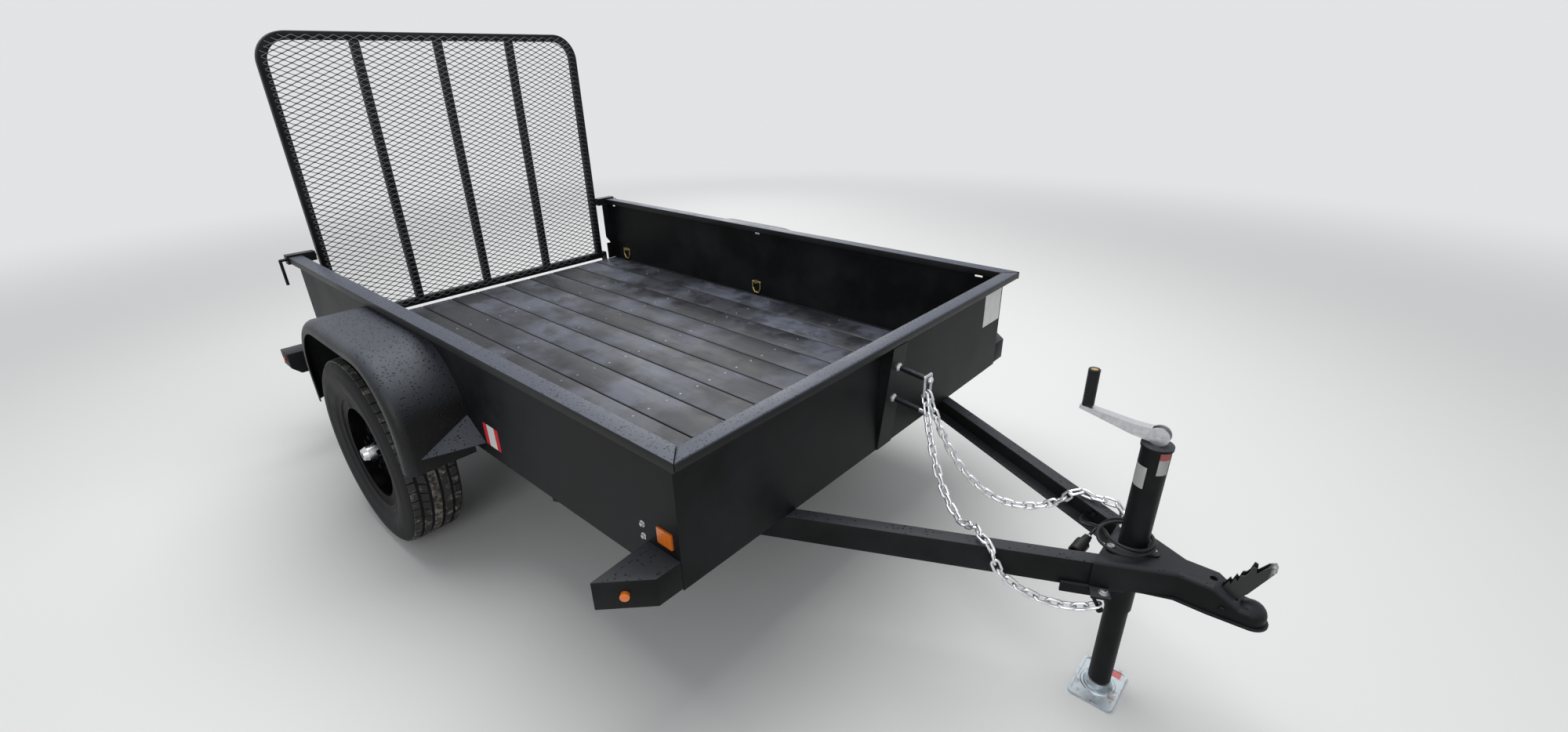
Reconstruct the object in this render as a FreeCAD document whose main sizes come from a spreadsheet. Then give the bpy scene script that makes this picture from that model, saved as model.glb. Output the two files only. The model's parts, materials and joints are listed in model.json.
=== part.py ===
"""Single-axle utility trailer with solid sides, a mesh ramp gate and a tongue jack.

Row frame: +X forward towards the coupler, +Y left, +Z up, millimetres. The origin is on the
ground under the middle of the whole trailer.
"""
import FreeCAD
import Part
import Sketcher
import math
import os
from types import SimpleNamespace

V = FreeCAD.Vector

# alias, value in millimetres or degrees, what it is
SIZES = [
    ("box_length", 2438, "front panel to the rear ends of the side panels"),
    ("box_width", 1590, "over the outer faces of the side panels"),
    ("sheet", 3, "thickness of the side and front panels"),
    ("rim_top", 840, "top of the rolled rim above the ground"),
    ("rim_width", 50, "width of the rim tube"),
    ("rim_depth", 26, "height of the rim tube"),
    ("rim_out", 28, "how far the side rims stand out from the panels"),
    ("rim_out_front", 45, "how far the front rim stands out from its panel"),
    ("slot_length", 32, "lashing slot under the side rims"),
    ("slot_height", 9, "lashing slot height"),
    ("deck_bottom", 470, "underside of the planks"),
    ("plank_thick", 25, "plank thickness"),
    ("plank_width", 140, "plank width"),
    ("plank_gap", 3, "gap between planks"),
    ("angle_leg", 40, "flat leg of the perimeter angle"),
    ("angle_thick", 4, "thickness of the perimeter angle"),
    ("member_depth", 50, "depth of the floor crossmembers"),
    ("member_width", 30, "width of the floor crossmembers"),
    ("first_member", 700, "first crossmember behind the front panel"),
    ("panel_drop", 10, "how far the side panels reach above the deck underside"),
    ("sill_depth", 76, "depth of the rear sill"),
    ("sill_width", 38, "width of the rear sill"),
    ("rail_depth", 76, "depth of the tongue channels"),
    ("rail_flange", 38, "flange width of the tongue channels"),
    ("rail_thick", 5, "wall of the tongue channels"),
    ("rail_angle", 26, "angle of each tongue rail to the centreline"),
    ("rail_spread", 440, "centreline to a rail's outer face at the front panel"),
    ("rail_back", 640, "rear end of the rails behind the front panel"),
    ("rail_front", 745, "front end of the rails ahead of the front panel"),
    ("post_width", 50, "rear post width across the opening"),
    ("post_leg", 38, "rear post leg along the side panel"),
    ("notch_up", 92, "post notch above the deck"),
    ("notch_height", 38, "post notch height"),
    ("notch_depth", 26, "post notch depth"),
    ("latch_gap", 12, "latch tube's end to the gate"),
    ("latch_rise", 8, "latch tube's top above the rim"),
    ("latch_tube", 38, "square tube that holds a gate latch pin"),
    ("latch_out", 34, "latch tube beyond the side panel"),
    ("latch_pin", 6, "gate latch pin radius"),
    ("latch_drop", 105, "how far the latch pin's handle hangs"),
    ("axle_back", 1455, "axle behind the front panel"),
    ("tyre_radius", 343, "tyre outer radius and hub height"),
    ("tyre_width", 192, "tyre section width"),
    ("tyre_clearance", 15, "side panel to the tyre's inner wall"),
    ("tread_half", 74, "half width of the tread"),
    ("bulge_radius", 284, "radius at which the tyre is widest"),
    ("rim_radius", 196, "bead radius of the wheel"),
    ("wheel_half", 69, "half width of the wheel between its flanges"),
    ("flange_height", 12, "wheel flange beyond the bead seat"),
    ("flange_width", 6, "wheel flange width"),
    ("disc_out", 34, "wheel disc's face outside the wheel's middle"),
    ("disc_thick", 8, "wheel disc thickness"),
    ("disc_flat", 120, "radius of the disc's flat middle"),
    ("disc_step", 30, "depth of the disc's outer ring"),
    ("hub_radius", 32, "hub radius through the disc"),
    ("hub_flange", 62, "hub flange radius"),
    ("hub_cap", 60, "how far the hub cap stands out of the disc"),
    ("axle_tube", 60, "axle tube diameter"),
    ("spindle_radius", 17, "wheel spindle radius"),
    ("bearing_gap", 0.05, "radial running gap of the wheel bearings and pins"),
    ("fender_ahead", 35, "fender's middle ahead of the axle"),
    ("fender_length", 840, "fender length"),
    ("fender_top", 800, "fender top above the ground"),
    ("fender_bottom", 440, "fender ends above the ground"),
    ("fender_width", 206, "fender width from the side panel"),
    ("fender_round", 250, "side view corner radius of the fender"),
    ("fender_sheet", 3, "fender sheet thickness"),
    ("fender_shoulder", 32, "radius of the fender's outer edge"),
    ("fender_lip", 45, "depth of the fender's outer face"),
    ("gusset_top", 574, "top corner of the fender gusset"),
    ("gusset_foot", 508, "front corner of the fender gusset"),
    ("gusset_tip", 486, "outer corner of the fender gusset"),
    ("gusset_reach", 94, "gusset length along the panel"),
    ("gusset_out", 163, "gusset width from the panel"),
    ("leaf_width", 45, "leaf spring width"),
    ("leaf_thick", 7, "one leaf of the spring"),
    ("spring_length", 640, "eye to eye length of the springs"),
    ("gate_half", 710, "centreline to the gate's outer face"),
    ("gate_top", 1702, "top of the gate"),
    ("gate_bottom", 502, "bottom of the gate"),
    ("gate_bar", 34, "gate tube size"),
    ("gate_round", 120, "outer corner radius of the gate"),
    ("gate_gap", 9, "panel ends to the gate's front face"),
    ("mesh_long", 50, "long way of the expanded metal diamonds"),
    ("mesh_short", 23, "short way of the expanded metal diamonds"),
    ("mesh_strand", 2.4, "strand width of the expanded metal"),
    ("mesh_thick", 1.6, "thickness of one mesh layer"),
    ("hinge_pin", 8, "gate hinge pin radius"),
    ("lug_thick", 8, "gate hinge lug thickness"),
    ("lug_gap", 12, "gate side to a hinge lug"),
    ("lug_nose", 18, "hinge axis to the lug's outer edge"),
    ("coupler_back", 674, "coupler rear edge ahead of the front panel"),
    ("ball_reach", 307, "coupler rear edge to the ball's centre"),
    ("neck_reach", 76, "ball's centre back to where the nose slopes down"),
    ("coupler_plate", 7, "coupler top plate thickness"),
    ("coupler_wall", 5, "coupler side wall thickness"),
    ("coupler_bottom", 402, "coupler edge above the ground"),
    ("coupler_bend", 12, "outer bend radius of the coupler"),
    ("nose_half", 37, "coupler half width at its neck"),
    ("nose_top", 441, "top of the nose above the ground"),
    ("nose_flat", 20, "level stretch of the nose behind the ball's centre"),
    ("ball_radius", 25.6, "ball socket radius"),
    ("ball_height", 421, "ball's centre above the ground"),
    ("socket_deep", 31, "straight depth of the ball socket"),
    ("socket_wall", 5.6, "wall round the ball socket"),
    ("skirt_out", 6, "how far the coupler's edge is turned out"),
    ("skirt_thick", 4, "thickness of the turned-out edge"),
    ("skirt_start", 60, "turned-out edge begins this far behind the neck"),
    ("lever_width", 22, "latch lever width"),
    ("lever_sheet", 3, "latch lever sheet thickness"),
    ("slot_gap", 0.6, "latch lever to the sides of its slot"),
    ("slot_back", 64, "lever slot's rear end behind the ball's centre"),
    ("slot_run", 35, "lever slot length"),
    ("pivot_back", 50, "lever pivot behind the ball's centre"),
    ("pivot_up", 24, "lever pivot above the coupler's edge"),
    ("pivot_radius", 7, "lever pivot bolt radius"),
    ("jack_x", 726, "jack axis ahead of the front panel"),
    ("jack_radius", 32, "jack outer tube radius"),
    ("leg_radius", 28, "jack leg radius"),
    ("jack_top", 760, "top of the jack tube above the ground"),
    ("cap_out", 2.5, "how far the jack's cap stands out"),
    ("cap_height", 7, "height of the jack's cap"),
    ("flange_front", 74, "jack plate's front corner ahead of the jack axis"),
    ("flange_rear", 46, "jack plate's rear edge behind the jack axis"),
    ("flange_half", 72, "half of the jack plate's rear edge"),
    ("flange_thick", 6, "jack plate thickness"),
    ("flange_round", 14, "jack plate corner radius"),
    ("bolt_head", 9, "half width of the jack plate's bolt heads"),
    ("bolt_height", 6, "height of the bolt heads"),
    ("bolt_inset", 26, "bolts from the jack plate's corners"),
    ("leg_top", 500, "top of the jack leg above the ground"),
    ("jack_low", 286, "lower end of the jack tube above the ground"),
    ("foot_length", 114, "jack foot plate along X"),
    ("foot_width", 152, "jack foot plate along Y"),
    ("foot_thick", 9, "jack foot plate thickness"),
    ("foot_round", 14, "jack foot plate corner radius"),
    ("foot_rim", 7, "raised edge of the foot plate"),
    ("foot_dish", 2.5, "depth of the foot plate's dish"),
    ("cup_radius", 33, "outer radius of the cup that holds the leg"),
    ("cup_height", 25, "height of the cup"),
    ("ring_radius", 45, "outer radius of the raised ring round the cup"),
    ("crank_arm", 160, "crank axis to grip axis"),
    ("crank_disc", 22, "radius of the crank's cheeks at its pivot"),
    ("crank_rise", 22, "crank pivot above the jack"),
    ("crank_width", 22, "crank arm width"),
    ("crank_sheet", 3, "crank arm sheet thickness"),
    ("crank_bend", 56, "pivot back to the bend in the crank arm"),
    ("stub_radius", 7.5, "crank shaft radius"),
    ("grip_length", 92, "crank grip length"),
    ("grip_radius", 13.5, "crank grip radius"),
    ("bracket_width", 76, "spare wheel bracket width"),
    ("bracket_side", 18, "middle of the bracket to the left of the centreline"),
    ("bracket_depth", 45, "spare wheel bracket depth at the rim"),
    ("bracket_toe", 4, "spare wheel bracket depth at its foot"),
    ("bracket_sheet", 3, "spare wheel bracket sheet thickness"),
    ("stud_radius", 6.35, "spare wheel stud radius"),
    ("stud_length", 114, "stud length"),
    ("sleeve_radius", 8.2, "outer radius of the sleeves on the studs"),
    ("sleeve_length", 82, "length of the sleeves"),
    ("nut_radius", 13, "cone nut radius at the bracket"),
    ("nut_height", 11, "cone nut height"),
    ("stud_low", 642, "lower stud's foot above the ground"),
    ("stud_pitch", 104, "distance between the studs' feet"),
    ("link_pitch", 31, "inner length of a chain link"),
    ("link_wire", 7, "chain wire diameter"),
    ("wing_top", 551, "marker lamp housing top above the ground"),
    ("wing_bottom", 474, "marker lamp housing bottom above the ground"),
    ("wing_front", 70, "how far the housing stands out at its front"),
    ("wing_rear", 169, "how far the housing stands out at its rear"),
    ("wing_length", 100, "housing length behind the front panel"),
    ("reflector_back", 72, "side reflector's rear end behind the front panel"),
    ("reflector_low", 572, "side reflector above the ground"),
    ("reflector_length", 50, "side reflector length"),
    ("reflector_height", 42, "side reflector height"),
    ("reflector_thick", 5, "side reflector thickness"),
    ("tail_out", 165, "how far the tail lamp boxes stand out"),
    ("tail_height", 97, "tail lamp box height"),
    ("tail_depth", 95, "tail lamp box length along X"),
    ("tail_chamfer", 32, "cut-back lower corner of the tail lamp boxes"),
    ("ring_rear", 2310, "rear tie-down rings behind the front panel"),
    ("ring_front", 1255, "front tie-down rings behind the front panel"),
    ("ring_top", 562, "top bar of the tie-down rings above the ground"),
    ("ring_wire", 4, "tie-down ring wire radius"),
    ("cable_radius", 4, "lamp cable radius"),
    ("gland_x", 600, "cable grommet ahead of the front panel"),
    ("gland_height", 425, "cable grommet above the ground"),
    ("gland_radius", 9, "cable grommet radius"),
    ("gland_thick", 6, "cable grommet thickness"),
    ("plug_radius", 18, "cable plug radius"),
    ("plug_length", 64, "cable plug length"),
    ("near_cross", 445, "right chain over its rail ahead of the front panel"),
    ("far_cross", 560, "left chain over its rail ahead of the front panel"),
    ("near_hang", 472, "right chain length from the shackle to its rail"),
    ("far_hang", 578, "left chain length from the shackle to its rail"),
    ("eye_x", 702, "chain eyes ahead of the front panel"),
    ("eye_out", 23, "chain eyes beyond the rails' outer faces"),
    ("near_eye", 361, "right chain eye above the ground"),
    ("far_eye", 387, "left chain eye above the ground"),
]


class Size:
    """A length or angle that carries its number and its spreadsheet expression."""

    def __init__(self, number, text):
        self.number = number
        self.text = text

    def joined(self, other, sign, number, swap=False):
        texts = [self.text, as_size(other).text]
        if swap:
            texts.reverse()
        return Size(number, f"({texts[0]} {sign} {texts[1]})")

    def __add__(self, other):
        return self.joined(other, "+", self.number + as_size(other).number)

    def __sub__(self, other):
        return self.joined(other, "-", self.number - as_size(other).number)

    def __mul__(self, other):
        return self.joined(other, "*", self.number * as_size(other).number)

    def __truediv__(self, other):
        return self.joined(other, "/", self.number / as_size(other).number)

    def __radd__(self, other):
        return self.joined(other, "+", as_size(other).number + self.number, True)

    def __rsub__(self, other):
        return self.joined(other, "-", as_size(other).number - self.number, True)

    def __rmul__(self, other):
        return self.joined(other, "*", as_size(other).number * self.number, True)

    def __neg__(self):
        return Size(-self.number, f"(0 - {self.text})")

    def __float__(self):
        return float(self.number)


def as_size(value):
    return value if isinstance(value, Size) else Size(float(value), repr(float(value)))


def tangent(angle):
    return Size(math.tan(math.radians(float(angle))), f"tan({angle.text})")


def cosine(angle):
    return Size(math.cos(math.radians(float(angle))), f"cos({angle.text})")


def arctangent(ratio):
    return Size(math.degrees(math.atan(float(ratio))), f"atan({ratio.text})")


doc = FreeCAD.newDocument("utility_trailer")


def fill_sheet():
    sheet = doc.addObject("Spreadsheet::Sheet", "Sizes")
    for row, (alias, value, meaning) in enumerate(SIZES, start=1):
        sheet.set(f"A{row}", str(value))
        sheet.setAlias(f"A{row}", alias)
        sheet.set(f"B{row}", meaning)
    doc.recompute()
    return SimpleNamespace(**{a: Size(float(v), f"Sizes.{a}") for a, v, _ in SIZES})


s = fill_sheet()

# Planes for outlines: u and v run along the named axes.
PLANES = {
    "XY": FreeCAD.Rotation(),
    "XZ": FreeCAD.Rotation(V(1, 0, 0), 90),
    "YZ": FreeCAD.Rotation(V(1, 1, 1), 120),
}
AXES = {
    "x": FreeCAD.Rotation(V(0, 1, 0), 90),
    "y": FreeCAD.Rotation(V(1, 0, 0), -90),
    "z": FreeCAD.Rotation(),
}

# How a piece revolved about Y is turned to another axis
TURNS = {
    "x": FreeCAD.Rotation(V(0, 0, 1), -90),
    "y": FreeCAD.Rotation(),
    "z": FreeCAD.Rotation(V(1, 0, 0), 90),
}

nodes = {}


def bind(thing, **sizes):
    for name, size in sizes.items():
        thing.setExpression(name, as_size(size).text)


def move(thing, x=0, y=0, z=0):
    for axis, size in (("x", x), ("y", y), ("z", z)):
        thing.setExpression(f"Placement.Base.{axis}", as_size(size).text)
    return thing


def box(name, x, y, z, length, width, height):
    """A block from its lowest corner."""
    block = doc.addObject("Part::Box", name)
    bind(block, Length=length, Width=width, Height=height)
    return move(block, x, y, z)


def rod(name, x, y, z, radius, height, axis="z"):
    """A cylinder whose first end is at x, y, z and that runs along the axis."""
    round_bar = doc.addObject("Part::Cylinder", name)
    bind(round_bar, Radius=radius, Height=height)
    round_bar.Placement.Rotation = AXES[axis]
    return move(round_bar, x, y, z)


def outline(name, plane, corners):
    """A closed sketch. A corner is (u, v) or (u, v, radius), each bound to the sheet."""
    sketch = doc.addObject("Sketcher::SketchObject", name)
    sketch.Placement = FreeCAD.Placement(V(0, 0, 0), PLANES[plane])
    count = len(corners)
    points = [V(float(c[0]), float(c[1]), 0) for c in corners]
    ends = []
    for i, corner in enumerate(corners):
        before = (points[i - 1] - points[i]).normalize()
        after = (points[(i + 1) % count] - points[i]).normalize()
        cut_back = 0.0
        if len(corner) == 3:
            cut_back = float(corner[2]) / math.tan(before.getAngle(after) / 2)
        ends.append((points[i] + before * cut_back, points[i] + after * cut_back))
    for i in range(count):
        sketch.addGeometry(Part.LineSegment(ends[i][1], ends[(i + 1) % count][0]))
    for i, corner in enumerate(corners):
        line_in, line_out = (i - 1) % count, i
        if len(corner) == 2:
            sketch.addConstraint(Sketcher.Constraint("Coincident", line_in, 2, line_out, 1))
            hold(sketch, line_out, 1, corner)
        else:
            round_corner(sketch, points[i], ends[i], line_in, line_out, corner)
    return sketch


def hold(sketch, geometry, point, corner):
    for kind, size in (("DistanceX", corner[0]), ("DistanceY", corner[1])):
        number = sketch.addConstraint(Sketcher.Constraint(kind, -1, 1, geometry, point, float(size)))
        sketch.setExpression(f"Constraints[{number}]", as_size(size).text)


def round_corner(sketch, tip, ends, line_in, line_out, corner):
    """An arc between two lines whose sharp corner stays at the given place."""
    turn_in = tip - ends[0]
    turn_out = ends[1] - tip
    left = turn_in.cross(turn_out).z > 0
    radius = float(corner[2])
    normal = V(-turn_in.y, turn_in.x, 0).normalize() * (radius if left else -radius)
    centre = ends[0] + normal
    angles = [math.atan2(e.y - centre.y, e.x - centre.x) for e in ends]
    if not left:
        angles.reverse()
    if angles[1] < angles[0]:
        angles[1] += 2 * math.pi
    arc = sketch.addGeometry(Part.ArcOfCircle(Part.Circle(centre, V(0, 0, 1), radius), *angles))
    first, last = (1, 2) if left else (2, 1)
    sketch.addConstraint(Sketcher.Constraint("Tangent", line_in, 2, arc, first))
    sketch.addConstraint(Sketcher.Constraint("Tangent", arc, last, line_out, 1))
    number = sketch.addConstraint(Sketcher.Constraint("Radius", arc, radius))
    sketch.setExpression(f"Constraints[{number}]", as_size(corner[2]).text)
    point = sketch.addGeometry(Part.Point(tip), True)
    sketch.addConstraint(Sketcher.Constraint("PointOnObject", point, 1, line_in))
    sketch.addConstraint(Sketcher.Constraint("PointOnObject", point, 1, line_out))
    hold(sketch, point, 1, corner)


def plate(name, plane, corners, thickness, x=0, y=0, z=0):
    """An outline made solid along its plane's normal: +Z, -Y or +X."""
    sketch = outline(name + "_outline", plane, corners)
    move(sketch, x, y, z)
    solid = doc.addObject("Part::Extrusion", name)
    solid.Base = sketch
    solid.DirMode = "Normal"
    solid.Solid = True
    bind(solid, LengthFwd=thickness)
    return solid


def turned(name, corners, x=0, y=0, z=0, axis="y"):
    """An outline of (radius, height) corners revolved about an axis."""
    sketch = outline(name + "_outline", "XY", corners)
    solid = doc.addObject("Part::Revolution", name)
    solid.Source = sketch
    solid.Axis = V(0, 1, 0)
    solid.Angle = 360
    solid.Solid = True
    solid.Placement.Rotation = TURNS[axis]
    return move(solid, x, y, z)


def fused(name, *shapes):
    joined = doc.addObject("Part::MultiFuse", name)
    joined.Shapes = list(shapes)
    return joined


def cut(name, base, *tools):
    result = doc.addObject("Part::Cut", name)
    result.Base = base
    result.Tool = tools[0] if len(tools) == 1 else fused(name + "_tools", *tools)
    return result


def group(name, *shapes):
    """Several solids that don't touch, kept in one node."""
    together = doc.addObject("Part::Compound", name)
    together.Links = list(shapes)
    return together


def mirrored(name, source):
    """The same piece on the trailer's left side."""
    other = doc.addObject("Part::Mirroring", name)
    other.Source = source
    other.Base = V(0, 0, 0)
    other.Normal = V(0, 1, 0)
    return other


def own_shape(name, shape):
    piece = doc.addObject("Part::Feature", name)
    piece.Shape = shape
    return piece


def rounded(name, base, radius, chosen):
    """Rounds the edges of a solid that a test picks."""
    doc.recompute()
    soft = doc.addObject("Part::Fillet", name)
    soft.Base = base
    size = float(radius)
    soft.Edges = [(i, size, size) for i, edge in enumerate(base.Shape.Edges, start=1) if chosen(edge)]
    return soft


def bent_rod(places, radius, closed=False):
    """A round rod from place to place with ball-shaped bends."""
    ends = places + places[:1] if closed else places
    parts = [Part.makeCylinder(radius, (b - a).Length, a, b - a) for a, b in zip(ends, ends[1:])]
    bends = places if closed else places[1:-1]
    parts += [Part.makeSphere(radius, place) for place in bends]
    return parts[0].multiFuse(parts[1:]).removeSplitter()


def keep(name, thing):
    thing.Label = name
    nodes[name] = thing
    return thing


def keep_pair(name, right):
    keep(name + "_right", right)
    keep(name + "_left", mirrored(name + "_left", right))


def both_sides(name, right):
    """A piece and its mirror image in one node."""
    keep(name, group(name, right, mirrored(name + "_other", right)))


# Places worked out from the sizes
tail_reach = s.gate_gap + s.gate_bar / 2 + s.lug_nose
dome = s.ball_radius + s.socket_wall
coupler_nose = s.coupler_back + s.ball_reach + dome + s.skirt_out
front = (s.box_length + tail_reach - coupler_nose) / 2
rear = front - s.box_length
half = s.box_width / 2
inner = half - s.sheet
deck_top = s.deck_bottom + s.plank_thick
frame_low = s.deck_bottom - s.angle_thick
rim_low = s.rim_top - s.rim_depth
side_low = s.deck_bottom + s.panel_drop
axle_x = front - s.axle_back
wheel_y = half + s.tyre_clearance + s.tyre_width / 2
gate_front = rear - s.gate_gap
gate_x = gate_front - s.gate_bar / 2
gate_z = s.gate_bottom + s.gate_bar / 2
jack_x = front + s.jack_x
ball_x = front + s.coupler_back + s.ball_reach
neck_x = ball_x - s.neck_reach
coupler_top = frame_low + s.coupler_plate


def side_panels():
    """Sheet sides with three lashing slots under the rim."""
    wall = box("side_sheet", rear, -half, side_low, s.box_length - s.sheet, s.sheet, rim_low - side_low)
    slots = []
    for i, share in enumerate((0.04, 0.51, 0.98)):
        slots.append(box(f"lashing_slot_{i}", front - s.box_length * share - s.slot_length / 2,
                         -half - 1, rim_low - s.slot_height - 4, s.slot_length, s.sheet + 2, s.slot_height))
    keep_pair("side_panel", cut("side_panel_right", wall, *slots))


def front_panel():
    keep("front_panel", box("front_panel", front - s.sheet, -half, frame_low + 2, s.sheet, s.box_width,
                            rim_low - frame_low - 2))


def rims():
    """Rolled rims: hollow tubes on the side panels and across the front, mitred at the corners."""
    outer = half + s.rim_out
    tip = front + s.rim_out_front
    back = tip - s.rim_width
    side = plate("rim_side_body", "XY", [(rear, -outer), (tip, -outer), (back, s.rim_width - outer),
                                         (rear, s.rim_width - outer)], s.rim_depth, z=rim_low)
    hollow = plate("rim_side_hollow", "XY",
                   [(rear - 1, s.sheet - outer), (tip - s.sheet * 3, s.sheet - outer),
                    (back - s.sheet * 2, s.rim_width - s.sheet - outer),
                    (rear - 1, s.rim_width - s.sheet - outer)],
                   s.rim_depth - s.sheet * 2, z=rim_low + s.sheet)
    keep_pair("top_rim", cut("top_rim_right", side, hollow))
    keep("top_rim_front", plate("top_rim_front", "XY",
                                [(tip, -outer), (tip, outer), (back, outer - s.rim_width),
                                 (back, s.rim_width - outer)], s.rim_depth, z=rim_low))


def floor():
    """Planks between the perimeter angles."""
    pitch = s.plank_width + s.plank_gap
    count = int(float(inner) * 2 // float(pitch))
    start = -(pitch * count - s.plank_gap) / 2
    boards = []
    for i in range(count):
        boards.append(box(f"plank_{i}", rear, start + pitch * i, s.deck_bottom,
                          s.box_length - s.sheet - s.angle_thick, s.plank_width, s.plank_thick))
    keep("floor_planks", group("floor_planks", *boards))
    legs = []
    length = s.box_length - s.sheet
    for i, side in enumerate((-1, 1)):
        wall_y = -inner if side < 0 else inner - s.angle_thick
        flat_y = -inner if side < 0 else inner - s.angle_leg
        legs.append(fused(f"side_angle_{i}",
                          box(f"angle_wall_{i}", rear, wall_y, frame_low, length, s.angle_thick,
                              s.plank_thick + s.angle_thick),
                          box(f"angle_flat_{i}", rear, flat_y, frame_low, length, s.angle_leg,
                              s.angle_thick)))
    keep("perimeter_angles", group("perimeter_angles", *legs))


def crossmembers():
    count = 4
    toe = inner - s.angle_leg
    spread = (s.box_length - s.first_member - s.sill_width) / count
    members = []
    for i in range(count):
        x = front - s.first_member - spread * i
        body = box(f"member_body_{i}", x - s.member_width, -toe, s.deck_bottom - s.member_depth,
                   s.member_width, toe * 2, s.member_depth)
        inside = box(f"member_inside_{i}", x - s.member_width - 1, -toe - 1,
                     s.deck_bottom - s.member_depth + s.angle_thick,
                     s.member_width - s.angle_thick + 1, toe * 2 + 2,
                     s.member_depth - s.angle_thick * 2)
        members.append(cut(f"member_{i}", body, inside))
    keep("floor_crossmembers", group("floor_crossmembers", *members))
    sill = box("sill_body", rear, -half, frame_low - s.sill_depth, s.sill_width, half * 2, s.sill_depth)
    hollow = box("sill_hollow", rear + s.angle_thick, -half - 1, frame_low - s.sill_depth + s.angle_thick,
                 s.sill_width - s.angle_thick * 2, half * 2 + 2, s.sill_depth - s.angle_thick * 2)
    keep("rear_sill", cut("rear_sill", sill, hollow))


def rear_posts():
    """Angles at the rear ends of the sides, notched over the gate's hinge."""
    right = -inner
    across = box("post_across", rear, right, deck_top, s.sheet, s.post_width, rim_low - deck_top)
    along = box("post_along", rear, right, deck_top, s.post_leg, s.sheet, rim_low - deck_top)
    edge = right + s.post_width
    low = deck_top + s.notch_up
    corners = [(edge + 1, low), (edge + 1, low + s.notch_height), (edge - s.notch_depth, low)]
    notch = plate("post_notch", "YZ", corners, s.sheet + 2, x=rear - 1)
    both_sides("rear_posts", cut("rear_post_right", fused("rear_post_body", across, along), notch))


def gate_latches():
    """Square tubes behind the rims' ends with a bent pin that blocks the gate."""
    tube = s.latch_tube
    y0 = -half - s.latch_out
    length = half + s.latch_out - s.gate_half - s.latch_gap
    low = s.rim_top - tube + s.latch_rise
    body = box("latch_body", rear - tube, y0, low, tube, length, tube)
    pin_x = rear - tube / 2
    pin_z = low + tube / 2
    bore = rod("latch_bore", pin_x, y0 - 1, pin_z, s.latch_pin + 0.3, length + 2, "y")
    both_sides("latch_tubes", cut("latch_tube_right", body, bore))
    bend = V(float(pin_x), float(y0) - 22, float(pin_z))
    tip = V(float(pin_x), -float(s.gate_half) - 7, float(pin_z))
    pin = bent_rod([tip, bend, bend - V(0, 0, float(s.latch_drop))], float(s.latch_pin))
    both_sides("latch_pins", own_shape("latch_pin_right", pin))


def tongue():
    """Two channels, open inwards, that meet inside the coupler."""
    slope = tangent(s.rail_angle)
    length = (s.rail_back + s.rail_front) / cosine(s.rail_angle)
    z = frame_low - s.rail_depth
    body = box("rail_body", 0, 0, 0, length, s.rail_flange, s.rail_depth)
    inside = box("rail_inside", -1, s.rail_thick, s.rail_thick, length + 2, s.rail_flange,
                 s.rail_depth - s.rail_thick * 2)
    rail = cut("tongue_rail_right", body, inside)
    rail.Placement.Rotation = FreeCAD.Rotation(V(0, 0, 1), float(s.rail_angle))
    rail.setExpression("Placement.Rotation.Angle", s.rail_angle.text)
    move(rail, front - s.rail_back, -s.rail_spread - s.rail_back * slope, z)
    keep_pair("tongue_rail", rail)


def spare_bracket():
    """A wedge-shaped channel on the front panel with two studs square to its face."""
    t = s.bracket_sheet
    low = frame_low + 2
    right = s.bracket_side - s.bracket_width / 2
    rise = rim_low - low
    left = right + s.bracket_width

    def side_view(name, inset, over, y, width):
        corners = [(front - over, low - over), (front + s.bracket_toe - inset, low - over),
                   (front + s.bracket_depth - inset, rim_low + over), (front - over, rim_low + over)]
        return plate(name, "XZ", corners, width, y=y)

    body = side_view("bracket_body", as_size(0), as_size(0), left, s.bracket_width)
    inside = side_view("bracket_inside", t, as_size(1), left - t, s.bracket_width - t * 2)
    keep("spare_bracket", cut("spare_bracket", body, inside))
    tilt = arctangent((s.bracket_depth - s.bracket_toe) / rise)
    studs = []
    sleeves = []
    for i, z in enumerate((s.stud_low, s.stud_low + s.stud_pitch)):
        x = front + s.bracket_toe + (s.bracket_depth - s.bracket_toe) * (z - low) / rise
        shank = rod(f"stud_shank_{i}", 0, 0, 0, s.stud_radius, s.stud_length)
        cone = turned(f"stud_cone_{i}", [(0, 0), (s.nut_radius, 0), (s.nut_radius, s.nut_height * 0.4),
                                         (s.sleeve_radius, s.nut_height), (0, s.nut_height)], axis="z")
        studs.append(fused(f"spare_stud_{i}", shank, cone))
        outside = rod(f"sleeve_outside_{i}", 0, 0, s.nut_height, s.sleeve_radius, s.sleeve_length)
        hole = rod(f"sleeve_hole_{i}", 0, 0, s.nut_height - 1, s.stud_radius + s.bearing_gap,
                   s.sleeve_length + 2)
        sleeves.append(cut(f"stud_sleeve_{i}", outside, hole))
        for thing in (studs[-1], sleeves[-1]):
            thing.Placement.Rotation = FreeCAD.Rotation(V(0, 1, 0), 90 + float(tilt))
            thing.setExpression("Placement.Rotation.Angle", f"90 deg + {tilt.text}")
            move(thing, x, s.bracket_side, z)
    keep("spare_studs", group("spare_studs", *studs))
    keep("stud_sleeves", group("stud_sleeves", *sleeves))
    return tilt, x, z


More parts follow.
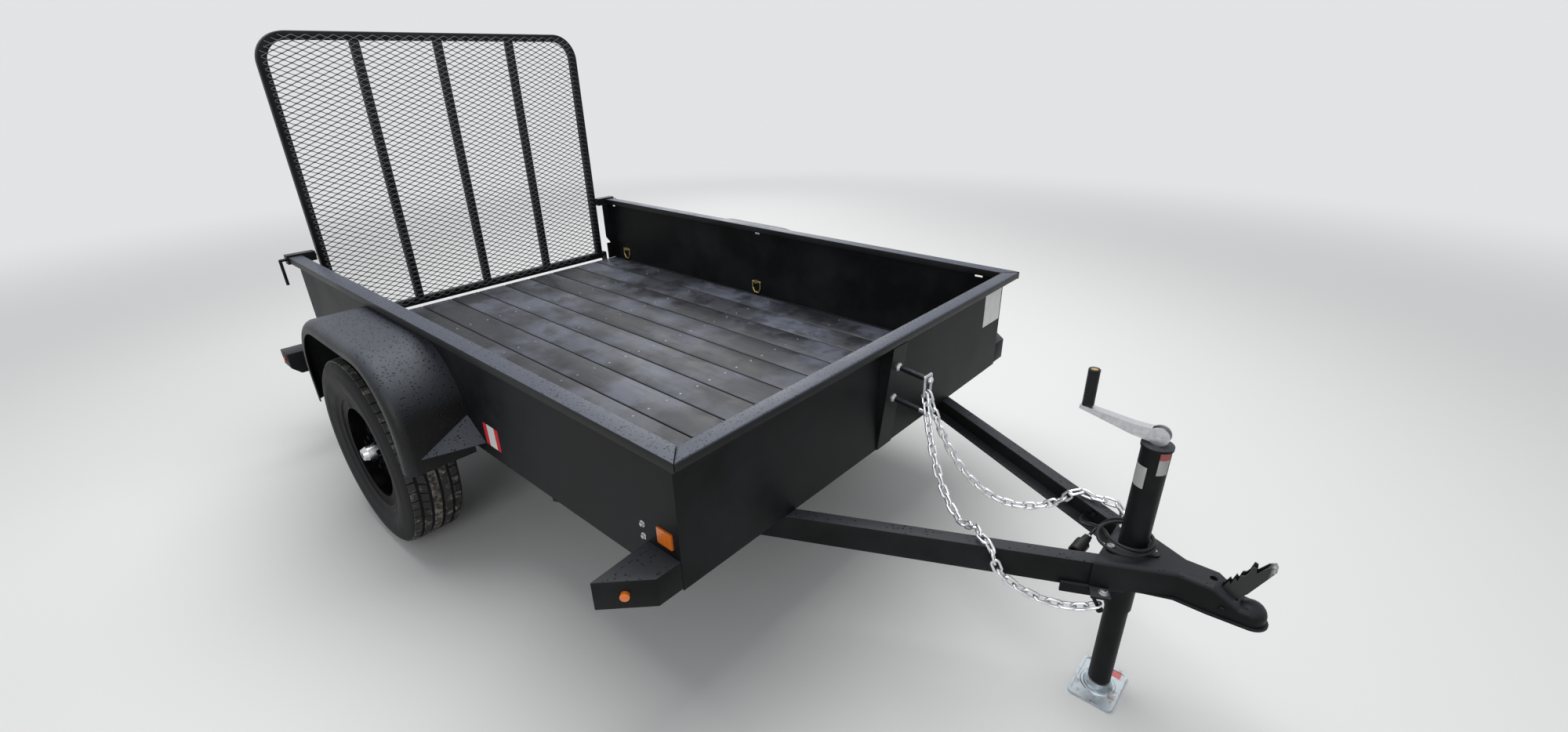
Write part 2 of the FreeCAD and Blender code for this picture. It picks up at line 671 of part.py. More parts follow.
def axle():
    """Round axle tube with stub spindles, leaf springs and their hangers."""
    seat = inner - s.angle_leg / 2
    end = wheel_y - s.tyre_width / 2 + 5
    tube = rod("axle_pipe", axle_x, -end, s.tyre_radius, s.axle_tube / 2, end * 2, "y")
    tip = wheel_y + 40
    spindle = rod("axle_spindle", axle_x, -tip, s.tyre_radius, s.spindle_radius, tip * 2, "y")
    keep("axle", fused("axle", tube, spindle))
    springs = []
    hangers = []
    top = s.tyre_radius + s.axle_tube / 2
    for side, sign in (("right", -1), ("left", 1)):
        y = seat * sign - s.leaf_width / 2
        hanger_y = seat * sign - s.angle_leg / 2
        leaves = [box(f"leaf_{side}_{i}", axle_x - s.spring_length * (1 - 0.24 * i) / 2, y,
                      top + s.leaf_thick * i, s.spring_length * (1 - 0.24 * i), s.leaf_width, s.leaf_thick)
                  for i in range(3)]
        springs.append(fused(f"leaf_spring_{side}", *leaves))
        reach = s.spring_length / 2
        for end_name, x in (("front", axle_x + reach - 30), ("rear", axle_x - reach)):
            hangers.append(box(f"hanger_{side}_{end_name}", x, hanger_y, top + s.leaf_thick, 30, s.angle_leg,
                               frame_low - top - s.leaf_thick))
    keep("leaf_springs", group("leaf_springs", *springs))
    keep("spring_hangers", group("spring_hangers", *hangers))


def wheels():
    """Steel wheel, hub with cap and tyre, turned about the axle."""
    w = s.tyre_width / 2
    r = s.tyre_radius
    bead = s.rim_radius
    flange = bead + s.flange_height
    edge = s.wheel_half + s.flange_width
    section = [(flange, -edge), (s.bulge_radius, -w), (r, -s.tread_half), (r, s.tread_half), (s.bulge_radius, w),
               (flange, edge)]
    keep_pair("tyre", turned("tyre_right", section, axle_x, -wheel_y, r))
    face = -s.disc_out
    back = face + s.disc_thick
    well = bead - s.disc_step
    disc = [(s.hub_radius, face), (s.disc_flat, face), (well - 4, face + s.disc_step), (well, -s.wheel_half - 2)]
    barrel = [(flange, -edge), (flange, -s.wheel_half), (bead, -s.wheel_half), (bead, s.wheel_half),
              (flange, s.wheel_half), (flange, edge), (bead - 6, edge), (bead - 6, 12 - s.wheel_half)]
    inside = [(well + 2, back + s.disc_step), (s.disc_flat - 2, back), (s.hub_radius, back)]
    keep_pair("wheel", turned("wheel_right", disc + barrel + inside, axle_x, -wheel_y, r))
    bore = s.spindle_radius + s.bearing_gap
    cap = face - s.hub_cap
    crown = [(0, cap - 2), (20, cap), (26, cap + 14), (s.hub_radius, cap + 50), (s.hub_radius, back)]
    body = [(s.hub_flange, back), (s.hub_flange, back + 12), (s.hub_radius + 2, back + 16),
            (s.hub_radius + 2, w - 12), (bore, w - 12), (bore, cap + 18), (0, cap + 18)]
    keep_pair("hub", turned("hub_right", crown + body, axle_x, -wheel_y, r))


def fenders():
    """Round-cornered fenders with a rounded outer edge and a gusset in front."""
    middle = axle_x + s.fender_ahead
    x0 = middle - s.fender_length / 2
    x1 = middle + s.fender_length / 2
    t = s.fender_sheet
    face = -half - s.fender_width

    def arch(name, grow, drop, y_from, width):
        """A block with the fender's side view, grown outwards by a distance."""
        corner = s.fender_round + grow
        low = s.fender_bottom - drop
        top = s.fender_top + grow
        return plate(name, "XZ", [(x0 - grow, low), (x1 + grow, low), (x1 + grow, top, corner),
                                  (x0 - grow, top, corner)], width, y=y_from)

    def outer_edges(y):
        def on_face(edge):
            flat = all(abs(v.Y - float(y)) < 0.1 for v in edge.Vertexes)
            return flat and max(v.Z for v in edge.Vertexes) > float(s.fender_bottom) + 5
        return on_face

    skin = arch("fender_skin", as_size(0), as_size(0), -half, s.fender_width)
    skin = rounded("fender_shoulder", skin, s.fender_shoulder, outer_edges(face))
    hollow = arch("fender_hollow", -t, as_size(2), -half + 1, s.fender_width + 1 - t)
    hollow = rounded("fender_hollow_shoulder", hollow, s.fender_shoulder - t, outer_edges(face + t))
    opening = arch("fender_opening", -s.fender_lip, as_size(2), face + s.fender_lip, s.fender_lip + 10)
    cover = cut("fender_cover", skin, hollow, opening)
    corners = [V(float(x1) - 1, -float(half), float(s.gusset_top)),
               V(float(x1 + s.gusset_reach), -float(half), float(s.gusset_foot)),
               V(float(x1) - 1, -float(half + s.gusset_out), float(s.gusset_tip))]
    facing = (corners[1] - corners[0]).cross(corners[2] - corners[0]).normalize()
    sheet = Part.Face(Part.makePolygon(corners + corners[:1])).extrude(facing * -float(t))
    keep_pair("fender", fused("fender_right", cover, own_shape("fender_gusset", sheet)))


def marker_wings():
    """Folded lamp housings that wrap the front corners."""
    t = s.sheet
    corners = [(front, -half), (front, -half - s.wing_front), (front - s.wing_length, -half - s.wing_rear),
               (front - s.wing_length - 15, -half)]
    body = plate("wing_body", "XY", corners, s.wing_top - s.wing_bottom, z=s.wing_bottom)
    inside = plate("wing_inside", "XY",
                   [(front - t, -half + 1), (front - t, -half - s.wing_front + t * 0.5),
                    (front - s.wing_length + t, -half - s.wing_rear + t * 2),
                    (front - s.wing_length - 15 + t, -half + 1)],
                   s.wing_top - s.wing_bottom - t + 1, z=s.wing_bottom - 1)
    both_sides("marker_housings", cut("marker_housing_right", body, inside))
    lamp = rod("marker_lamp_right", 0, 0, 0, 11, 9, "y")
    out = V(float(s.wing_rear - s.wing_front), -float(s.wing_length), 0)
    lamp.Placement.Rotation = FreeCAD.Rotation(V(0, 0, 1), out)
    move(lamp, front - s.wing_length / 2, -half - (s.wing_front + s.wing_rear) / 2,
         (s.wing_top + s.wing_bottom) / 2)
    both_sides("marker_lamps", lamp)
    reflector = box("side_reflector_right", front - s.reflector_back, -half - s.reflector_thick, s.reflector_low,
                    s.reflector_length, s.reflector_thick, s.reflector_height)
    both_sides("side_reflectors", reflector)


def tail_lamps():
    """Lamp boxes at the ends of the rear sill, each with a rear lens and a round one at its outer end."""
    y = -half - s.tail_out
    low = frame_low - s.tail_height
    corners = [(-half, low), (y + s.tail_chamfer, low), (y, low + s.tail_chamfer), (y, frame_low),
               (-half, frame_low)]
    body = plate("tail_body", "YZ", corners, s.tail_depth, x=rear)
    both_sides("tail_boxes", body)
    lens = plate("tail_lens", "YZ", [(-half - 14, low + 14, 8), (y + s.tail_chamfer, low + 14, 8),
                                     (y + 12, low + s.tail_chamfer + 6, 8), (y + 12, frame_low - 12, 8),
                                     (-half - 14, frame_low - 12, 8)], 7, x=rear - 7)
    marker = rod("tail_marker", rear + s.tail_depth / 2, y - 6, frame_low - s.tail_height / 3, 10, 6, "y")
    both_sides("tail_lamps", group("tail_lamp_right", lens, marker))


# The lever's side, up its serrated edge and down the smooth one: ahead of the ball's centre, above the nose
LEVER = [(-61, -4), (-63, 23), (-54, 47), (-50, 41), (-45, 61), (-40, 55), (-37, 72), (-30, 76), (-26, 85),
         (-22, 106), (-15, 104), (-13, 91), (2, 115), (14, 122), (19, 113), (-16, 33), (-34, 5), (-35, -4)]
# The lever's front sheet in the same measure
LEVER_WEB = [(-46, 5), (-34, 5), (-16, 33), (19, 113), (14, 122), (6, 118), (-24, 45)]


def coupler():
    """Coupler pressed from plate: a cover bent over the rails, a sloping nose with a domed ball socket."""
    slope = tangent(s.rail_angle)
    side = s.coupler_wall / cosine(s.rail_angle)
    back = front + s.coupler_back
    back_half = s.rail_spread - s.coupler_back * slope + side
    meet = front + (s.rail_spread + side - s.nose_half) / slope

    def cover(name, wall, plate_thick, over, tip_x, tip_half):
        """The plan and the side view met in one solid, drawn in by the wall and the top plate."""
        right = [(back - over, back_half - wall + over * slope), (meet, s.nose_half - wall),
                 (neck_x, s.nose_half - wall), (tip_x, tip_half)]
        left = [(x, -y) for x, y in reversed(right)]
        low = s.coupler_bottom - over
        plan = plate(name + "_plan", "XY", left + right, coupler_top - low, z=low)
        top = coupler_top - plate_thick
        nose = s.nose_top - plate_thick
        view = plate(name + "_view", "XZ",
                     [(back - over, low), (tip_x, low), (tip_x, nose),
                      (ball_x - s.nose_flat - plate_thick * 2, nose), (neck_x, top), (back - over, top)],
                     back_half * 2 + 4, y=back_half + 2)
        met = doc.addObject("Part::MultiCommon", name)
        met.Shapes = [plan, view]
        return met

    def top_side(edge):
        """The long edges along the top of both sides."""
        run = edge.Vertexes[-1].Point - edge.Vertexes[0].Point
        high = min(v.Z for v in edge.Vertexes) > float(s.nose_top) - 1
        wide = min(abs(v.Y) for v in edge.Vertexes) > float(dome) - 1
        return high and wide and abs(run.x) > 5

    body = cover("coupler_cover", as_size(0), as_size(0), as_size(0), ball_x, dome)
    body = rounded("coupler_bends", body, s.coupler_bend, top_side)
    inside = cover("coupler_inside", side, s.coupler_plate, as_size(1), ball_x - dome - s.coupler_wall,
                   dome - s.coupler_wall)
    edge = s.nose_half + s.skirt_out
    left_edge = [(ball_x, dome + s.skirt_out), (neck_x, edge), (meet, edge),
                 (meet - s.skirt_start, s.nose_half + s.skirt_start * slope)]
    right_edge = [(x, -y) for x, y in reversed(left_edge)]
    skirt = plate("coupler_skirt", "XY", right_edge + left_edge, s.skirt_thick, z=s.coupler_bottom)
    lip = rod("coupler_lip", ball_x, 0, s.coupler_bottom, dome + s.skirt_out, s.skirt_thick)
    barrel = rod("ball_barrel", ball_x, 0, s.coupler_bottom, dome, s.ball_height - s.coupler_bottom)
    crown = doc.addObject("Part::Sphere", "ball_crown")
    bind(crown, Radius=dome)
    move(crown, ball_x, 0, s.ball_height)
    hollow_cap = doc.addObject("Part::Sphere", "ball_cap_hollow")
    bind(hollow_cap, Radius=s.ball_radius)
    move(hollow_cap, ball_x, 0, s.ball_height)
    reach = dome + s.skirt_out
    below = box("below_coupler", ball_x - reach, -reach, s.coupler_bottom - reach, reach * 2, reach * 2,
                reach)
    socket = rod("ball_socket", ball_x, 0, s.coupler_bottom - 1, s.ball_radius, s.socket_deep + 1)
    jack_hole = rod("coupler_jack_hole", jack_x, 0, coupler_top - 20, s.jack_radius + 0.3, 40)
    width = s.lever_width + s.slot_gap * 2
    slot = box("lever_slot", ball_x - s.slot_back, -width / 2, s.nose_top - 14, s.slot_run, width, 60)
    view_hole = rod("coupler_view_hole", neck_x - 6, 0, coupler_top - 20, 8, 40)
    shell = cut("coupler_shell", fused("coupler_block", body, skirt), inside)
    nose = cut("coupler_nose", fused("coupler_joined", shell, lip, barrel, crown), below, socket, hollow_cap)
    pivot = rod("lever_pivot", ball_x - s.pivot_back, -s.nose_half - 3, s.coupler_bottom + s.pivot_up,
                s.pivot_radius, s.nose_half * 2 + 6, "y")
    keep("coupler", fused("coupler", cut("coupler_holed", nose, jack_hole, slot, view_hole), pivot))
    latch_lever()


def latch_lever():
    """A pressed lever, open at the back, with serrated cheeks."""
    t = s.lever_sheet
    w = s.lever_width

    def side(corners):
        return [(ball_x + x, s.nose_top + z) for x, z in corners]

    cheeks = [plate(f"lever_cheek_{i}", "XZ", side(LEVER), t, y=y) for i, y in enumerate((w / 2, t - w / 2))]
    web = plate("lever_web", "XZ", side(LEVER_WEB), w - t, y=w / 2 - t / 2)
    keep("coupler_latch", fused("coupler_latch", web, *cheeks))


def jack():
    """Tongue jack: capped outer tube on a three-bolt plate, and a leg in a pressed foot."""
    bore = s.leg_radius + s.bearing_gap
    length = s.jack_top - s.jack_low
    tube = rod("jack_pipe", jack_x, 0, s.jack_low, s.jack_radius, length)
    cap = rod("jack_cap", jack_x, 0, s.jack_top - s.cap_height, s.jack_radius + s.cap_out, s.cap_height)
    hollow = rod("jack_bore", jack_x, 0, s.jack_low - 1, bore, length - 12)
    shaft_bore = rod("jack_shaft_bore", jack_x, 0, s.jack_top - 20, s.stub_radius + s.bearing_gap, 30)
    corner = s.flange_round
    corners = [(jack_x + s.flange_front, as_size(0), corner), (jack_x - s.flange_rear, s.flange_half, corner),
               (jack_x - s.flange_rear, -s.flange_half, corner)]
    flange = plate("jack_flange", "XY", corners, s.flange_thick, z=coupler_top)
    keep("jack_tube", cut("jack_tube", fused("jack_body", tube, cap, flange), hollow, shaft_bore))
    heads = []
    rear_x = s.bolt_head - s.flange_rear
    side_y = s.flange_half - s.bolt_inset
    front_x = s.flange_front - s.bolt_inset - 3
    for i, (x, y) in enumerate(((front_x, as_size(0)), (rear_x, side_y), (rear_x, -side_y))):
        head = doc.addObject("Part::Prism", f"jack_bolt_{i}")
        head.Polygon = 6
        bind(head, Circumradius=s.bolt_head, Height=s.bolt_height)
        heads.append(move(head, jack_x + x, y, coupler_top + s.flange_thick))
    keep("jack_bolts", group("jack_bolts", *heads))
    keep("jack_leg", rod("jack_leg", jack_x, 0, s.foot_thick, s.leg_radius, s.leg_top - s.foot_thick))
    jack_foot()
    jack_crank()


def jack_foot():
    """A dished plate with a raised ring and a cup round the leg."""

    def slab(name, inset, corner, z, height):
        x, y = s.foot_length / 2 - inset, s.foot_width / 2 - inset
        corners = [(jack_x - x, -y, corner), (jack_x + x, -y, corner), (jack_x + x, y, corner), (jack_x - x, y, corner)]
        return plate(name, "XY", corners, height, z=z)

    base = slab("foot_base", as_size(0), s.foot_round, as_size(0), s.foot_thick)
    floor_z = s.foot_thick - s.foot_dish
    dish = slab("foot_dish", s.foot_rim, s.foot_round - s.foot_rim, floor_z, s.foot_dish + 1)
    low = floor_z - 1
    bore = s.leg_radius + s.bearing_gap
    rim = floor_z + s.cup_height
    crest = floor_z + 3
    section = [(bore, low), (s.ring_radius, low), (s.ring_radius, floor_z), (s.ring_radius - 3, crest),
               (s.ring_radius - 7, crest), (s.cup_radius, floor_z + 1), (s.cup_radius, rim), (bore, rim)]
    ring = turned("foot_ring", section, jack_x, 0, 0, "z")
    seat = rod("foot_seat", jack_x, 0, floor_z - 1, bore, s.foot_dish + 1)
    keep("jack_foot", fused("jack_foot", cut("foot_plate", base, dish), ring, seat))


def jack_crank():
    """A folding crank pressed as an upside-down channel, with cheeks round its pivot and an upright grip."""
    pivot_z = s.jack_top + s.crank_rise
    disc = s.crank_disc
    w = s.crank_width
    t = s.crank_sheet
    tip = jack_x - s.crank_arm - 15
    bend = jack_x - s.crank_bend
    top = pivot_z + disc

    def channel(name, drop, width, over):
        """The arm's side view, its top lowered by a distance."""
        end = tip + over
        upper = [(jack_x, top - 6 - drop), (bend, top - 7 - drop), (end, top + 2 - drop)]
        lower = [(end, top - 7), (bend, pivot_z - 12 - over), (jack_x, pivot_z - 18 - over)]
        arm = plate(name + "_arm", "XZ", upper + lower, width, y=width / 2)
        cheek = rod(name + "_cheek", jack_x, -width / 2, pivot_z, disc + over, width, "y")
        return fused(name, arm, cheek)

    outside = channel("crank_outside", as_size(0), w, as_size(0))
    inside = channel("crank_inside", t, w - t * 2, as_size(1))
    stub = rod("crank_stub", jack_x, 0, s.jack_top - 10, s.stub_radius, s.crank_rise + 18)
    pin = rod("crank_pin", jack_x, -w / 2 - 2, pivot_z, 5, w + 4, "y")
    seat = rod("grip_seat", jack_x - s.crank_arm, 0, top - 6, 6, 9)
    keep("jack_crank", fused("jack_crank", cut("crank_channel", outside, inside), stub, pin, seat))
    radius = s.grip_radius
    long = s.grip_length
    section = [(0, 0), (radius - 1.5, 0), (radius - 0.3, long * 0.7), (radius, long - 4), (radius - 2, long), (0, long)]
    keep("crank_grip", turned("crank_grip", section, jack_x - s.crank_arm, 0, top + 3, "z"))


def gate():
    """Ramp gate: bent outer frame, three upright bars, mesh and hinge pins."""
    b = s.gate_bar
    g = s.gate_half
    low, top = s.gate_bottom, s.gate_top
    outer = plate("gate_outer", "YZ", [(-g, low), (g, low), (g, top, s.gate_round), (-g, top, s.gate_round)],
                  b, x=gate_front - b)
    hole = plate("gate_hole", "YZ", [(b - g, low + b), (g - b, low + b), (g - b, top - b, s.gate_round - b),
                                     (b - g, top - b, s.gate_round - b)], b + 2, x=gate_front - b - 1)
    keep("gate_frame", cut("gate_frame", outer, hole))
    bars = [box(f"gate_bar_{i}", gate_front - b, (g - b / 2) / 2 * i - b / 2, low + b, b, b, top - low - b * 2)
            for i in (-1, 0, 1)]
    keep("gate_bars", group("gate_bars", *bars))
    pins = []
    for i, sign in enumerate((-1, 1)):
        start = -g - s.lug_gap - s.lug_thick - 8 if sign < 0 else g
        pins.append(rod(f"gate_pin_{i}", gate_x, start, gate_z, s.hinge_pin, s.lug_gap + s.lug_thick + 8,
                        "y"))
    keep("gate_pins", group("gate_pins", *pins))
    y = g + s.lug_gap + s.lug_thick
    lug = plate("gate_lug_body", "XZ", [(rear, frame_low - s.sill_depth + 10), (rear, gate_z + s.lug_nose),
                                        (gate_x - s.lug_nose, gate_z + s.lug_nose, 17),
                                        (gate_x - s.lug_nose, gate_z - 30, 17)], s.lug_thick, y=y)
    hole = rod("gate_lug_hole", gate_x, y - s.lug_thick - 1, gate_z, s.hinge_pin + s.bearing_gap,
               s.lug_thick + 2, "y")
    left = cut("gate_lug_left", lug, hole)
    keep("gate_lugs", group("gate_lugs", left, mirrored("gate_lug_right", left)))


def mesh_layer(rise, x):
    """Parallel strands of the expanded metal that rise to one side."""
    long_way, short_way = float(s.mesh_long), float(s.mesh_short)
    edge = float(s.gate_bar) * 0.4
    y1 = float(s.gate_half) - edge
    z0, z1 = float(s.gate_bottom) + edge, float(s.gate_top) - edge
    slope = short_way / long_way * rise
    angle = math.degrees(math.atan(slope))
    strands = []
    count = int((z1 - z0 + 2 * y1 * abs(slope)) / short_way)
    for i in range(1, count + 1):
        middle = z0 - y1 * abs(slope) + i * short_way
        ys = sorted((y for y in ((z0 - middle) / slope, (z1 - middle) / slope)))
        y_from, y_to = max(ys[0], -y1), min(ys[1], y1)
        if y_to - y_from < long_way:
            continue
        length = (y_to - y_from) / math.cos(math.radians(angle))
        strand = Part.makeBox(float(s.mesh_thick), length, float(s.mesh_strand))
        strand.Placement = FreeCAD.Placement(V(x, y_from, middle + slope * y_from),
                                             FreeCAD.Rotation(V(1, 0, 0), angle))
        strands.append(strand)
    return strands


def link_shape():
    """One flat-sided chain link, long way along X."""
    wire = float(s.link_wire)
    length = float(s.link_pitch) / 2
    width = wire * 0.9

    def ring(grow):
        a, b, c = length + grow, width + grow, 0.45 * (width + grow)
        corners = [V(a, c), V(a - b + c, b), V(b - c - a, b), V(-a, c), V(-a, -c), V(b - c - a, -b),
                   V(a - b + c, -b), V(a, -c)]
        return Part.Face(Part.makePolygon(corners + corners[:1]))

    flat = ring(wire).cut(ring(0))
    return flat.extrude(V(0, 0, wire)).translated(V(0, 0, -wire / 2))


def hanging(start, end, length, count):
    """Places along a chain that hangs between two ends."""
    flat = V(end.x - start.x, end.y - start.y, 0)
    span, drop = flat.Length, end.z - start.z
    low, high = 1e-3, 50.0
    target = math.sqrt(length ** 2 - drop ** 2) / span
    for _ in range(60):
        middle = (low + high) / 2
        low, high = (middle, high) if math.sinh(middle) / middle < target else (low, middle)
    scale = span / (2 * low)
    shift = span / 2 - scale * math.atanh(drop / length)
    base = scale * math.cosh(shift / scale)
    arc_start = scale * math.sinh(-shift / scale)
    places = []
    for i in range(count + 1):
        x = shift + scale * math.asinh((arc_start + i * length / count) / scale)
        z = scale * math.cosh((x - shift) / scale) - base
        places.append(V(start.x + flat.x * x / span, start.y + flat.y * x / span, start.z + z))
    return places


def chain(name, route, reach, odd):
    """Flat-sided links along a route, each a quarter turn from the last; the first ones face the shackle."""
    link = link_shape()
    curve = Part.BSplineCurve()
    curve.interpolate(route)
    line = curve.toShape()
    room = line.Length - reach * 2
    count = math.ceil(room / (float(s.link_pitch) - 0.4)) + 1
    count += (count + odd) % 2
    links = []
    for i in range(count):
        here = curve.parameterAtDistance(reach + i * room / (count - 1), curve.FirstParameter)
        place = curve.value(here)
        along = V(*curve.tangent(here)[0])
        fade = max(0, 1 - i / 6)
        level = V(0, 0, 1).cross(along).normalize() * (1 - fade) + V(0, fade, 0)
        level = (level - along * level.dot(along)).normalize()
        up = along.cross(level)
        if i % 2 == 0:
            level, up = up, -level
        turn = FreeCAD.Rotation(along, level, up, "XYZ")
        links.append(link.transformed(FreeCAD.Placement(place, turn).toMatrix()))
    keep(name, own_shape(name, Part.makeCompound(links)))
    return up


# Each chain over its rail: ahead of the crossing, beyond the rail's outer face, above the rail's top
NEAR_FALL = [(-28, -46, 16), (-10, -20, 14.5), (8, 0, 16), (22, 15, 13), (34, 22, -10), (50, 19, -55),
             (95, 17, -98), (163, 16, -126), (212, 19, -125)]
FAR_FALL = [(-35, -60, -12), (-20, -56, 9), (-4, -40, 17), (22, -24, 15), (52, -7, 15), (75, 6, 15.5),
            (95, 19, 10), (112, 25, -14), (127, 24, -46)]


def safety_chains(tilt, stud_x, stud_z):
    """Two chains from a shackle on the upper stud over the tongue rails to eyes on their outer faces."""
    pin = float(s.link_wire) * 0.64
    slope = math.tan(math.radians(float(s.rail_angle)))
    angle = math.radians(float(tilt))
    axis = V(math.cos(angle), 0, -math.sin(angle))
    foot = V(float(stud_x), float(s.bracket_side), float(stud_z))
    tip = foot + axis * (float(s.nut_height + s.sleeve_length) + pin + 2)
    top = tip + V(0, 0, float(s.stud_radius) + pin + 0.3)
    reach_out = V(0, 17, 0)
    low = top - V(0, 0, 58)
    loop = bent_rod([top - reach_out, top + reach_out, low + reach_out, low - reach_out], pin, True)
    keep("chain_shackle", own_shape("chain_shackle", loop))
    reach = float(s.link_pitch) / 2 - pin - 1.1
    face = float(s.rail_spread - s.eye_x * tangent(s.rail_angle))
    straps = []
    for name, sign, cross, hang, fall, height in (
            ("safety_chain_right", -1, s.near_cross, s.near_hang, NEAR_FALL, s.near_eye),
            ("safety_chain_left", 1, s.far_cross, s.far_hang, FAR_FALL, s.far_eye)):

        def beside(ahead, out, above):
            y = float(s.rail_spread) - ahead * slope + out
            return V(float(front) + ahead, sign * y, float(frame_low) + above)

        rail = [beside(float(cross) + x, out, up) for x, out, up in fall]
        eye = beside(float(s.eye_x), float(s.eye_out), float(height - frame_low))
        start = low + V(0, sign * 9, 0)
        end = chain(name, hanging(start, rail[0], float(hang), 7) + rail[1:] + [eye], reach, sign > 0)
        strap = Part.makeBox(100, 8, 26, V(-96, -8, 374))
        if abs(end.z) > 0.7:
            strap = strap.fuse(Part.makeBox(44, 40, 6, V(-32, -40, 394)))
            end = end * math.copysign(1, end.z)
            length = 54
        else:
            end = end * -math.copysign(1, end.y * sign)
            length = float(s.eye_out) + 12
        strap.Placement = FreeCAD.Placement(V(float(front + s.eye_x), -face, 0),
                                            FreeCAD.Rotation(V(0, 0, 1), float(s.rail_angle)))
        if sign > 0:
            strap = strap.mirror(V(0, 0, 0), V(0, 1, 0))
        bolt = Part.makeCylinder(pin, length, eye - end * 15, end)
        head = Part.makeCylinder(pin + 4, 4, eye - end * 18, end)
        straps.append(strap.multiFuse([bolt, head]))
    keep("chain_eyes", own_shape("chain_eyes", Part.makeCompound(straps)))


# The cable's route from its plug round the jack and back: ahead of the jack, to the left, above the coupler
CABLE = [(-104, 18, -40), (-99, 54, -33), (-80, 74, -7), (-48, 77, 15), (-8, 63, 16.3), (32, 44, 16.3),
         (50, 8, 16.3), (40, -34, 17), (14, -66, 19), (-26, -80, 22), (-62, -66, 24), (-78, -28, 25),
         (-70, 12, 26), (-42, 44, 27), (-2, 51, 27), (34, 34, 26), (45, -5, 26), (31, -42, 26),
         (-8, -55, 25), (-44, -38, 22), (-64, -3, 17), (-94, 18, 5), (-120, 42, -16), (-139, 74, -38)]


def smooth_path(places, ratio=0.45):
    """Straight runs joined by the largest tangent arcs that they leave room for."""
    edges = []
    radii = []
    here = places[0]
    for before, place, after in zip(places, places[1:], places[2:]):
        into, out = (place - before), (after - place)
        turn = into.getAngle(out)
        reach = ratio * min(into.Length, out.Length)
        radii.append(reach / math.tan(turn / 2))
        into.normalize()
        out.normalize()
        start, end = place - into * reach, place + out * reach
        aside = (out - into).normalize()
        middle = place + aside * (radii[-1] / math.cos(turn / 2) - radii[-1])
        edges.append(Part.LineSegment(here, start).toShape())
        edges.append(Part.Arc(start, middle, end).toShape())
        here = end
    edges.append(Part.LineSegment(here, places[-1]).toShape())
    return Part.Wire(edges), radii


def wiring():
    """The lamp cable: out of a grommet in the left rail, twice round the jack and down to its round plug."""
    radius = float(s.cable_radius)
    gland_x = front + s.gland_x
    web = s.rail_spread - s.gland_x * tangent(s.rail_angle) - s.rail_thick / cosine(s.rail_angle)
    angle = math.radians(float(s.rail_angle))
    inward = V(-math.sin(angle), -math.cos(angle), 0)
    gland = turned("wiring_grommet", [(0, 0), (s.gland_radius, 0), (s.gland_radius, s.gland_thick / 2),
                                      (s.gland_radius - 2, s.gland_thick), (0, s.gland_thick)])
    gland.Placement.Rotation = FreeCAD.Rotation(V(0, 1, 0), inward)
    keep("wiring_grommet", move(gland, gland_x, web, s.gland_height))
    base = V(float(jack_x), 0, float(coupler_top))
    route = [base + V(*place) for place in CABLE]
    tip = V(float(gland_x), float(web), float(s.gland_height)) + inward * float(s.gland_thick)
    route += [tip + inward * 34, tip]
    path, radii = smooth_path(route)
    start = (route[0] - route[1]).normalize()
    section = Part.Wire(Part.makeCircle(radius, route[0], start))
    tube = path.makePipeShell([section], True, False)
    share = tube.Volume / (math.pi * radius ** 2 * path.Length)
    print(f"cable {path.Length:.0f} mm, volume ratio {share:.4f}, radii", [round(r) for r in radii])
    keep("wiring_cable", own_shape("wiring_cable", tube))
    r = s.plug_radius
    long = s.plug_length
    section = [(0, 0), (r * 0.45, 0), (r * 0.62, 5), (r * 0.66, long * 0.3), (r, long * 0.38), (r, long - 2),
               (r - 2, long), (r - 4, long), (r - 4, long - 14), (0, long - 14)]
    plug = turned("wiring_plug", section)
    plug.Placement.Rotation = FreeCAD.Rotation(V(0, 1, 0), start)
    ahead, left, above = CABLE[0]
    keep("wiring_plug", move(plug, jack_x + ahead, left, coupler_top + above))


def tie_down_rings():
    """D-shaped rings that hang from clips on the inner faces of the sides."""
    wire = float(s.ring_wire)
    y = -float(inner) + wire + 0.4
    rings = []
    for ahead in (s.ring_rear, s.ring_front):
        x = front - ahead
        middle = V(float(x), y, float(s.ring_top))
        corners = [(-25, 0), (25, 0), (25, -32), (13, -55), (-13, -55), (-25, -32)]
        ring = bent_rod([middle + V(a, 0, b) for a, b in corners], wire, True)
        rings.append(own_shape("ring_wire", ring))
        clip = box("ring_clip", x - 12, -inner, s.ring_top - 7, 24, s.ring_wire * 2 + 3, 14)
        hole = rod("ring_hole", x - 13, -inner + s.ring_wire + 0.4, s.ring_top, s.ring_wire + 0.3, 26, "x")
        rings.append(cut("ring_holder", clip, hole))
    both_sides("tie_down_rings", group("tie_down_right", *rings))


def build():
    side_panels()
    front_panel()
    rims()
    floor()
    crossmembers()
    rear_posts()
    gate_latches()
    tongue()
    upper_stud = spare_bracket()
    axle()
    wheels()
    fenders()
    marker_wings()
    tail_lamps()
    coupler()
    jack()
    gate()
    back = mesh_layer(-1, float(gate_front) + 0.02)
    ahead = mesh_layer(1, float(gate_front + s.mesh_thick) + 0.04)
    keep("gate_mesh", own_shape("gate_mesh", Part.makeCompound(back + ahead)))
    safety_chains(*upper_stud)
    wiring()
    tie_down_rings()
    doc.recompute()


